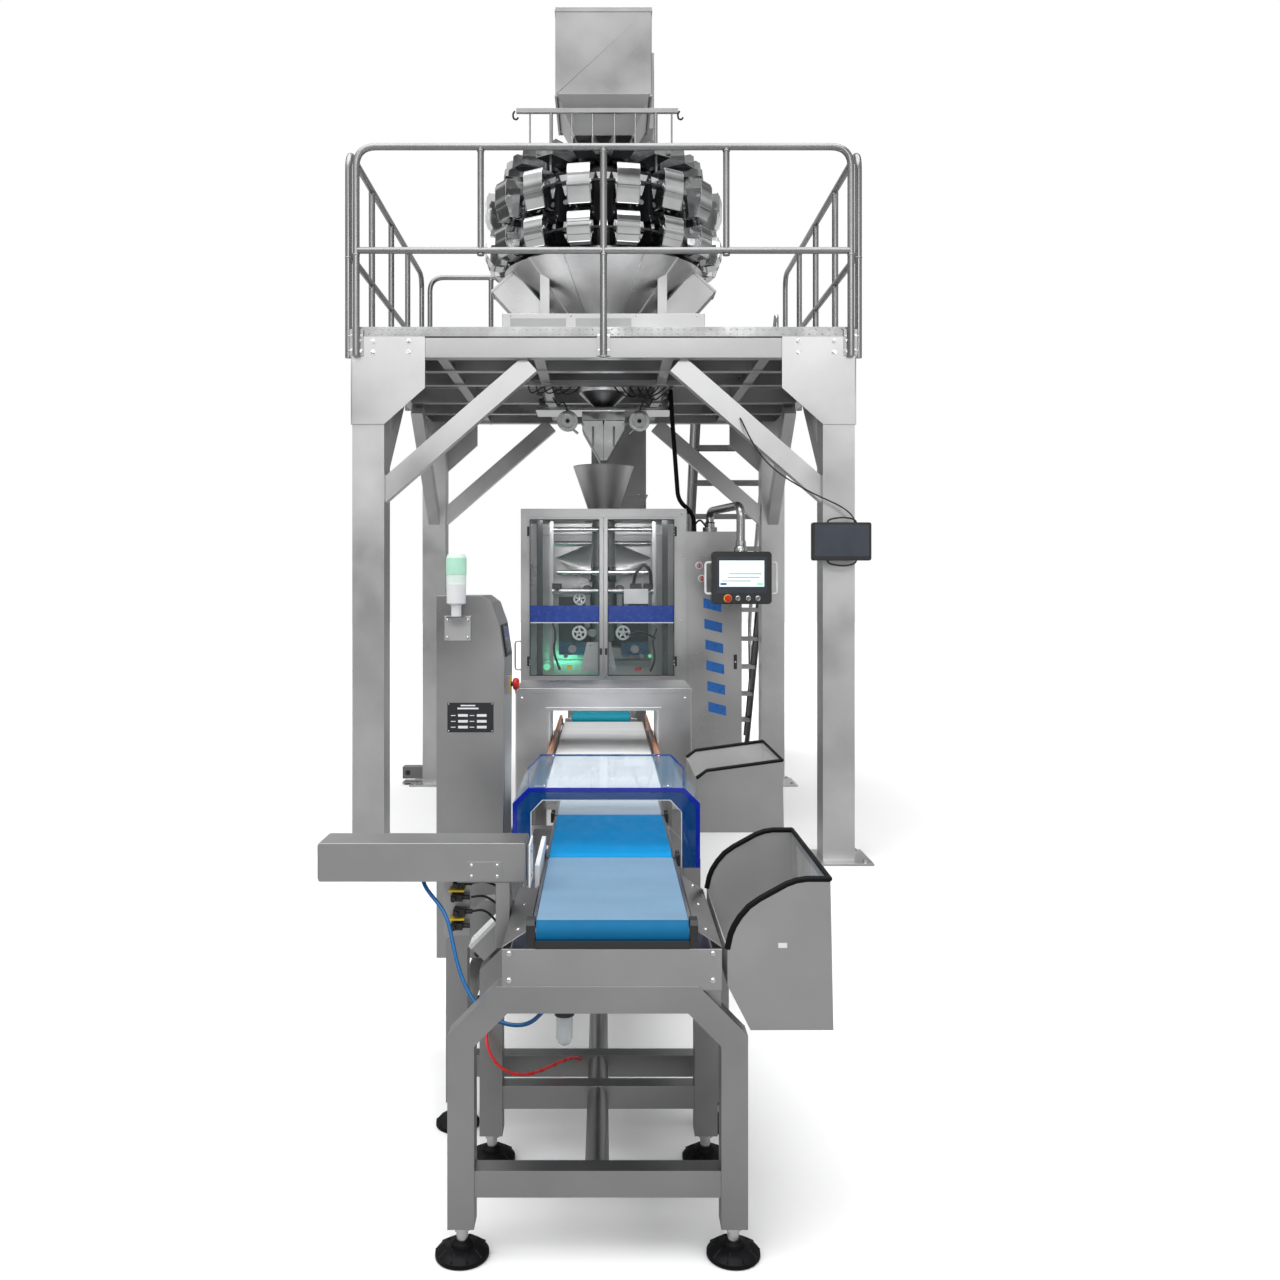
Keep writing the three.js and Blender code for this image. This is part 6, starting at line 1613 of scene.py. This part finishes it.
# ---- checkweigher ---------------------------------------------------------------------------
def make_checkweigher():
    keep_node("checkweigher_frame", FRAME_STEEL_SHADED, 0.004)
    keep_node("checkweigher_stand", FRAME_STEEL_SHADED, 0.003)
    front = -4.299
    parts = Solid().use(FRAME_STEEL_SHADED)
    parts.rod((-0.015, front + 0.0198, 0.176), (-0.015, -3.6505, 0.176), 0.0278, sides=40)
    parts.rod((-0.015, -3.6297, 0.176), (-0.015, -2.6903, 0.176), 0.0278, sides=40)
    parts.use(STEEL_ALONG).box(-0.2275, 0.2655, front + 0.002, front + 0.0041, 0.612, 0.7035)
    parts.use(BOLT)
    for x in (-0.2117, 0.2455):
        for z in (0.633, 0.693):
            parts.dome((x, front + 0.002, z), (0, -1, 0), 0.0075)
    for side, inner, outer in ((-1, -0.1665, -0.2275), (1, 0.2065, 0.2655)):
        parts.use(STEEL_ALONG)
        sheet = [(inner, 0.748), (outer, 0.7085), (outer, 0.7065), (inner, 0.746)]
        parts.prism(sheet, "y", front + 0.004, -3.80)
        parts.prism(rect(outer - side * 0.0015, outer, 0.707, 0.64), "y", front + 0.0101, -3.80)
        parts.prism(rect(inner, inner - side * 0.0015, 0.748, 0.7), "y", front + 0.004, -3.80)
        parts.use(BOLT)
        for y in (-4.23, -4.02, -3.84):
            parts.dome(((inner + outer) / 2, y, 0.728), (side * 0.54, 0, 0.84), 0.006)
    parts.use(BLACK)
    for x0, x1 in ((-0.174, -0.1545), (0.1945, 0.2125)):
        parts.prism([(-4.2965, 0.7055), (-4.258, 0.7055), (-4.2525, 0.7655), (-4.287, 0.7655),
                     (-4.2965, 0.756)], "x", x0, x1)
    # Painted shadow: a thin black strip in front of the lower half of the outfeed belt's front end stands
    # for the shade there.
    parts.box(-0.1535, 0.1935, front + 0.0005, front + 0.003, 0.7045, 0.722)
    for x0, x1 in ((-0.174, -0.1625), (0.2025, 0.214)):
        for y in (-3.645, -3.61, -3.05, -3.005):
            parts.box(x0, x1, y - 0.012, y + 0.012, 0.735, 0.7665)
    parts.use(WHITE).box(-0.1765, -0.1645, -3.915, -3.565, 0.738, 0.8)
    parts.use(STEEL_DARK)
    for y in (-3.87, -3.62):
        parts.box(-0.1645, -0.1622, y - 0.01, y + 0.01, 0.71, 0.752)
    parts.rod((-0.11, -3.93, 0.655), (0.12, -3.93, 0.655), 0.034, sides=28)
    parts.box(0.12, 0.19, -3.97, -3.89, 0.63, 0.7)
    parts.box(-0.03, 0.07, -3.955, -3.905, 0.683, 0.7215)
    for y in (-3.33, -2.82):
        parts.rod((-0.1, y, 0.665), (0.13, y, 0.665), 0.03, sides=28)
        parts.box(0.0, 0.1, y - 0.03, y + 0.03, 0.69, 0.7215)
    parts.use(STEEL_ALONG).box(-0.12, 0.16, -3.5, -3.15, 0.6405, 0.699)
    parts.use(BOLT)
    for y in (-4.269, -3.825):
        for x in (-0.2, 0.17):
            parts.hex_bolt((x, y, 0.62), (0, 0, 1), 0.007)
    parts.piece("checkweigher_fittings", LINE, "frame_stainless", 0.0008)


def make_valves():
    rig = Solid().use(STEEL_ALONG)
    rig.box(-0.408, -0.34, -3.935, -3.932, 0.625, 0.7905)
    rig.use(BLACK)
    for k in range(4):
        z = 0.765 - 0.036 * k
        x = -0.366 - 0.006 * (k % 2)
        rig.box(x - 0.014, x + 0.016, -3.97, -3.9352, z - 0.008, z + 0.008)
        rig.rod((x + 0.016, -3.955, z), (x + 0.034, -3.955, z), 0.006, sides=14)
        rig.rod((x - 0.006, -3.97, z), (x - 0.006, -3.984, z), 0.0065, sides=14)
    rig.use(YELLOW)
    for k in (0, 2):
        z = 0.765 - 0.036 * k - 0.018
        rig.box(-0.392, -0.352, -3.968, -3.9352, z - 0.0025, z + 0.0025)
    rig.use(CABLE)
    for k in range(3):
        z = 0.765 - 0.036 * k
        loop = [(-0.336, -3.955, z), (-0.3, -3.95, z + 0.004), (-0.26, -3.93, z - 0.02 - 0.014 * k),
                (-0.245, -3.9, z - 0.05), (-0.24, -3.85, 0.617)]
        rig.bent(loop, 0.025, 0.0032, 10, 6)
    rig.piece("pusher_valves", LINE, "black_plastic", 0.0008)
    box = Solid()
    box.place = Matrix.Translation((-0.276, -3.825, 0.571)) @ Matrix.Rotation(math.radians(-45), 4, "Y")
    box.use(STEEL_ALONG).box(-0.052, 0.052, -0.029, 0.05, 0, 0.05)
    box.use(WHITE).box(-0.054, 0.054, -0.031, 0.052, 0.046, 0.056)
    box.use(BOLT)
    for x in (-0.045, 0.045):
        for y in (-0.022, 0.043):
            box.dome((x, y, 0.056), (0, 0, 1), 0.004)
    box.use(BLACK).rod((-0.052, 0.0, 0.022), (-0.066, 0.0, 0.022), 0.008, sides=14)
    box.piece("junction_box", LINE, "brushed_stainless", 0.002)
    filter_unit = Solid()
    x, y = -0.092, -4.165
    filter_unit.use(BOWL).lathe([(0.006, 0.438), (0.013, 0.4405), (0.0195, 0.455), (0.0195, 0.514),
                                 (0.0175, 0.514), (0.0175, 0.457), (0.012, 0.4435),
                                 (0.006, 0.4415)], (x, y, 0), "z", 32)
    filter_unit.use(BLACK).disc(0.0065, 0.4375, 0.446, (x, y, 0), "z", 16)
    filter_unit.lathe([(0.0, 0.508), (0.0235, 0.508), (0.0235, 0.522), (0, 0.522)], (x, y, 0), "z", 32)
    filter_unit.use(WHITE).disc(0.009, 0.452, 0.505, (x, y, 0), "z", 20)
    filter_unit.use(POLISHED).box(x - 0.0255, x + 0.0255, y - 0.0235, y + 0.0235, 0.52, 0.5575)
    filter_unit.box(x - 0.01, x + 0.01, y + 0.02, y + 0.04, 0.53, 0.5588)
    filter_unit.use(BOLT).rod((x - 0.0263, y, 0.528), (x - 0.0245, y, 0.528), 0.011, sides=6)
    filter_unit.piece("air_filter_unit", LINE, "drum_steel", 0.001, ["air_filter"])


# ---- tunnel hood ----------------------------------------------------------------------------
def hood_outline(inset, left, right, top, foot, chamfer=0.045):
    cut = chamfer - inset * 0.41
    return [(left + inset, foot), (left + inset, top - inset - cut), (left + inset + cut, top - inset),
            (right - inset - cut, top - inset), (right - inset, top - inset - cut), (right - inset, foot)]


def make_hood():
    y0, y1 = ends("tunnel_hood")[2:4]
    x0, x1, z0, z1 = -0.262, 0.278, 0.706, 0.936
    size = (x0, x1, z1, z0)
    outer = hood_outline(0.0, *size)
    hood = Solid()
    hood.use(ACRYLIC).prism(outer + hood_outline(0.005, *size)[::-1], "y", y0 + 0.0062, y1)
    edge = hood_outline(0.012, *size)
    band = [(x0 + 0.052, z0), (x0 + 0.052, z1 - 0.07), (x0 + 0.085, z1 - 0.034),
            (x1 - 0.085, z1 - 0.034), (x1 - 0.052, z1 - 0.07), (x1 - 0.052, z0)]
    line = [(x + math.copysign(0.0022, 0.008 - x), min(z, z1 - 0.0365)) for x, z in band]
    hood.use(BLUE_SHEET).prism(edge + band[::-1], "y", y0 + 0.001, y0 + 0.0061)
    hood.use(WHITE).prism(band + line[::-1], "y", y0 + 0.0015, y0 + 0.0055)
    hood.use(BLUE_EDGE).prism(outer + edge[::-1], "y", y0, y0 + 0.0066)
    hood.use(BLUE_EDGE).prism(outer + hood_outline(0.006, *size)[::-1], "y", y1 - 0.006, y1 + 0.0002)
    hood.use(TUBE_STEEL).rod((0.273, y0 + 0.02, 0.712), (0.273, y1 - 0.02, 0.712), 0.007, sides=16)
    hood.use(BLACK)
    for y in (y0 + 0.07, y1 - 0.07):
        hood.rod((0.273, y - 0.025, 0.712), (0.273, y + 0.025, 0.712), 0.0085, sides=16)
        hood.box(0.2722, 0.2728, y - 0.02, y + 0.02, 0.712, 0.745)
    grip = [(x0 + 0.0045, y0 + 0.2, 0.80), (x0 + 0.03, y0 + 0.2, 0.80), (x0 + 0.03, y0 + 0.32, 0.80),
            (x0 + 0.0045, y0 + 0.32, 0.80)]
    hood.bent(grip, 0.01, 0.004, 12, 4)
    hood.use(BOLT)
    for y in (y0 + 0.04, y1 - 0.04):
        for x in (x0 + 0.09, x1 - 0.09):
            hood.dome((x, y, z1), (0, 0, 1), 0.005)
    hood.piece("tunnel_hood_sheet", "hood", "acrylic_blue", 0.0008, ["tunnel_hood"])


# ---- control cabinet, beacon, pusher --------------------------------------------------------
def make_control():
    keep_node("control_cabinet", STEEL_UP, 0.008)
    y0, y1 = -3.315, -3.0
    trim = Solid().use(BLACK).box(-0.481, -0.339, y0 - 0.002, y0, 1.066, 1.157)
    trim.use(WHITE)
    for k in range(3):
        z = 1.124 - 0.018 * k
        for x in (-0.448, -0.39):
            trim.box(x, x + 0.03, y0 - 0.0026, y0 - 0.0019, z - 0.01, z - 0.002)
        for x in (-0.47, -0.412):
            trim.box(x, x + 0.014, y0 - 0.0026, y0 - 0.0019, z - 0.0075, z - 0.005)
    trim.box(-0.45, -0.385, y0 - 0.0026, y0 - 0.0019, 1.137, 1.142)
    trim.box(-0.44, -0.395, y0 - 0.0026, y0 - 0.0019, 1.1465, 1.1505)
    trim.use(STEEL_INNER).box(-0.489, -0.409, y0 - 0.0078, y0 - 0.0061, 1.349, 1.423)
    trim.use(BOLT)
    for x in (-0.477, -0.343):
        for z in (1.07, 1.153):
            trim.dome((x, y0 - 0.002, z), (0, -1, 0), 0.0022)
    for x in (-0.48, -0.418):
        for z in (1.358, 1.412):
            trim.dome((x, y0 - 0.0078, z), (0, -1, 0), 0.0055)
    trim.use(STEEL_DARK)
    for x0, x1 in ((-0.5165, -0.5145), (-0.3125, -0.3105)):
        trim.box(x0, x1, y0 + 0.012, y0 + 0.0135, 0.38, 1.28)
    trim.use(STEEL_UP).box(-0.30985, -0.3065, y0 + 0.03, y1 - 0.03, 0.6, 1.14)
    trim.use(BLACK).prism([(-0.306, 1.295), (-0.3207, 1.395), (-0.3165, 1.3965), (-0.302, 1.2955)], "y",
                          y0 + 0.05, y1 - 0.05)
    trim.use(SCREEN_DARK).prism([(-0.3025, 1.304), (-0.3151, 1.3865), (-0.3144, 1.3867), (-0.3017, 1.3043)],
                                "y", y0 + 0.062, y1 - 0.062)
    trim.use(YELLOW).ring(0.0095, 0.028, 0, 0.0012, (-0.296, -3.195, 1.205), "x", 28)
    trim.use(BOLT)
    for z in (0.42, 0.8, 1.2):
        trim.dome((-0.515, y0 + 0.03, z), (-1, 0, 0), 0.005)
        trim.dome((-0.515, y1 - 0.03, z), (-1, 0, 0), 0.005)
    trim.piece("control_cabinet_trim", LINE, "brushed_stainless", 0.0004)
    button = Solid().use(RED)
    button.lathe([(0, 0), (0.015, 0), (0.0195, 0.004), (0.0198, 0.012), (0.0145, 0.0195), (0, 0.0198)],
                 (-0.2882, -3.195, 1.205), "x", 32)
    button.use(BLACK).disc(0.0078, -0.0175, 0.0015, (-0.2882, -3.195, 1.205), "x", 20)
    button.piece("stop_mushroom", "stop", "stop_red", 0.0, ["stop_button"])
    x, y, base = -0.449, y0 - 0.038, 1.4243
    lamp = Solid().use(WHITE).lathe([(0, base), (0.0155, base), (0.0155, 1.458), (0.029, 1.464),
                                     (0.0295, 1.512), (0.0305, 1.522), (0, 1.522)], (x, y, 0), "z", 40)
    profile = [(0, 1.5225)]
    for k in range(9):
        z = 1.5225 + k * 0.0088
        profile += [(0.0305, z), (0.0298, z + 0.0044)]
    profile += [(0.0305, 1.603), (0.026, 1.613), (0.012, 1.6148), (0, 1.6148)]
    lamp.use(LENS_WHITE).lathe(profile, (x, y, 0), "z", 48)
    lamp.use(BEACON_GLOW).ring(0.0309, 0.0312, 1.552, 1.602, (x, y, 0), "z", 48)
    lamp.piece("beacon_lamp", LINE, "beacon_lens", 0.0, ["signal_beacon"])


def make_pusher():
    keep_node("pusher_housing", STEEL_ALONG, 0.005)
    x0, x1, y0, y1, z0, z1 = -0.703, -0.19, -4.045, -3.925, 0.79, 0.885
    trim = Solid().use(STEEL_ALONG).box(-0.336, -0.249, y0 - 0.0018, y0, 0.795, 0.84)
    trim.box(x0 - 0.0015, x0, y0 + 0.006, y1 - 0.006, z0 + 0.006, z1 - 0.006)
    trim.use(BOLT)
    for x in (-0.324, -0.261):
        for z in (0.804, 0.831):
            trim.dome((x, y0 - 0.0018, z), (0, -1, 0), 0.005)
    for y in (y0 + 0.02, y1 - 0.02):
        for z in (z0 + 0.02, z1 - 0.02):
            trim.dome((x0 - 0.0015, y, z), (-1, 0, 0), 0.005)
    trim.use(STEEL_DARK).box(-0.36, -0.2, y0 + 0.002, y1 - 0.002, z0 - 0.0025, z0)
    trim.use(BLACK).rod((-0.453, -3.985, z0 - 0.012), (-0.453, -3.985, z0), 0.0095, sides=16)
    trim.rod((-0.13, -4.165, 0.528), (-0.1185, -4.165, 0.528), 0.009, sides=16)
    trim.use(STEEL_DARK).ring(0.0128, 0.02, 0, 0.0025, (x1, -3.985, 0.845), "x", 28)
    trim.piece("pusher_housing_trim", LINE, "brushed_stainless", 0.0005)
    head = Solid().use(WHITE).box(-0.1845, -0.18, y0 + 0.005, y1 - 0.005, 0.775, 0.88)
    head.use(STEEL_DARK).box(-0.1897, -0.1845, y0 + 0.008, y1 - 0.008, 0.778, 0.877)
    head.use(TUBE_STEEL).rod((-0.65, -3.985, 0.845), (-0.1846, -3.985, 0.845), 0.0098, sides=24)
    head.use(BOLT)
    for y in (y0 + 0.03, y1 - 0.03):
        for z in (0.80, 0.86):
            head.dome((-0.18, y, z), (1, 0, 0), 0.0045)
    head.piece("pusher_head", "pusher", "drum_steel", 0.0006, ["pusher_plate"])


# ---- reject bins ----------------------------------------------------------------------------
def lean_wall(solid, low, high, thick, y0, y1):
    """A thin wall along Y between two points of the XZ outline."""
    (xa, za), (xb, zb) = low, high
    solid.prism([(xa, za), (xb, zb), (xb - thick, zb), (xa - thick, za)], "y", y0, y1)


def make_bin(node, body, outline, solid_edges, rim_route, grille=None):
    _, _, y0, y1, _, _ = ends(node)
    sheet = 0.0025
    bin_part = Solid().use(STEEL_UP)
    bin_part.prism(outline, "y", y0, y0 + sheet)
    # Painted light: the rear wall is the lighter, rougher steel copy, brightening the inside of the bin.
    bin_part.use(STEEL_INNER).prism(outline, "y", y1 - sheet, y1)
    middle = sum(x for x, _ in outline) / len(outline)
    for a, b in solid_edges:
        thick = sheet if a[0] > middle or b[0] > middle else -sheet
        if abs(a[1] - b[1]) < 1e-6:
            bin_part.box(min(a[0], b[0]), max(a[0], b[0]), y0 + sheet, y1 - sheet, a[1], a[1] + sheet)
        else:
            lean_wall(bin_part, a, b, thick, y0 + sheet, y1 - sheet)
    (xa, za), (xb, zb) = grille
    from_z, to_z = zb - 0.105, zb - 0.025

    def at(z):
        return xa + (xb - xa) * (z - za) / (zb - za)

    lean_wall(bin_part, (xa, za), (at(from_z), from_z), sheet, y0 + sheet, y1 - sheet)
    lean_wall(bin_part, (at(to_z), to_z), (xb, zb), sheet, y0 + sheet, y1 - sheet)
    start, stop = y0 + 0.08, y1 - 0.08
    slots = int((stop - start) / 0.022)
    lean_wall(bin_part, (at(from_z), from_z), (at(to_z), to_z), sheet, y0 + sheet, start)
    for k in range(slots):
        y = start + (stop - start) * (k + 0.55) / slots
        lean_wall(bin_part, (at(from_z), from_z), (at(to_z), to_z), sheet, y, y + 0.01)
    lean_wall(bin_part, (at(from_z), from_z), (at(to_z), to_z), sheet, stop + 0.004, y1 - sheet)
    bin_part.use(RUBBER)
    for y in (y0 + sheet, y1 - sheet):
        bin_part.tube([(x, y, z) for x, z in rim_route], 0.007, 12)
    bin_part.tube([(xb - 0.001, y0 + sheet, zb), (xb - 0.001, y1 - sheet, zb)], 0.006, 12)
    bin_part.piece(node + "_sheet", body, "brushed_stainless", 0.0006, [node])
    return bin_part


def make_bins():
    low_left, floor_left = (0.278, 0.622), (0.33, 0.521)
    floor_right, top_right = (0.516, 0.521), (0.509, 0.86)
    curve = [(0.457, 0.86), (0.433, 0.8565), (0.41, 0.848), (0.35, 0.815), (0.326, 0.798), (0.306, 0.775),
             (0.293, 0.754), (0.285, 0.735), (0.278, 0.703)]
    outline = [floor_left, floor_right, top_right, *curve, low_left]
    edges = [(floor_left, floor_right), (low_left, floor_left), ((0.278, 0.622), (0.278, 0.7))]
    make_bin("reject_bin_front", "bin_front", outline, edges, [top_right, *curve], (floor_right, top_right))
    outline = [(0.36, 0.56), (0.7, 0.56), (0.695, 0.84), (0.4, 0.8), (0.36, 0.77)]
    edges = [((0.36, 0.56), (0.7, 0.56)), ((0.36, 0.56), (0.36, 0.77))]
    rim = [(0.695, 0.84), (0.4, 0.8), (0.36, 0.77)]
    make_bin("reject_bin_rear", "bin_rear", outline, edges, rim, ((0.7, 0.56), (0.695, 0.84)))
    label = Solid().use(WHITE).box(0.392, 0.412, -4.2958, -4.295, 0.706, 0.717)
    label.piece("bin_label", "bin_front", "brushed_stainless")


make_feet()
make_detector()
make_conveyors()
make_checkweigher()
make_valves()
make_hood()
make_control()
make_pusher()
make_bins()
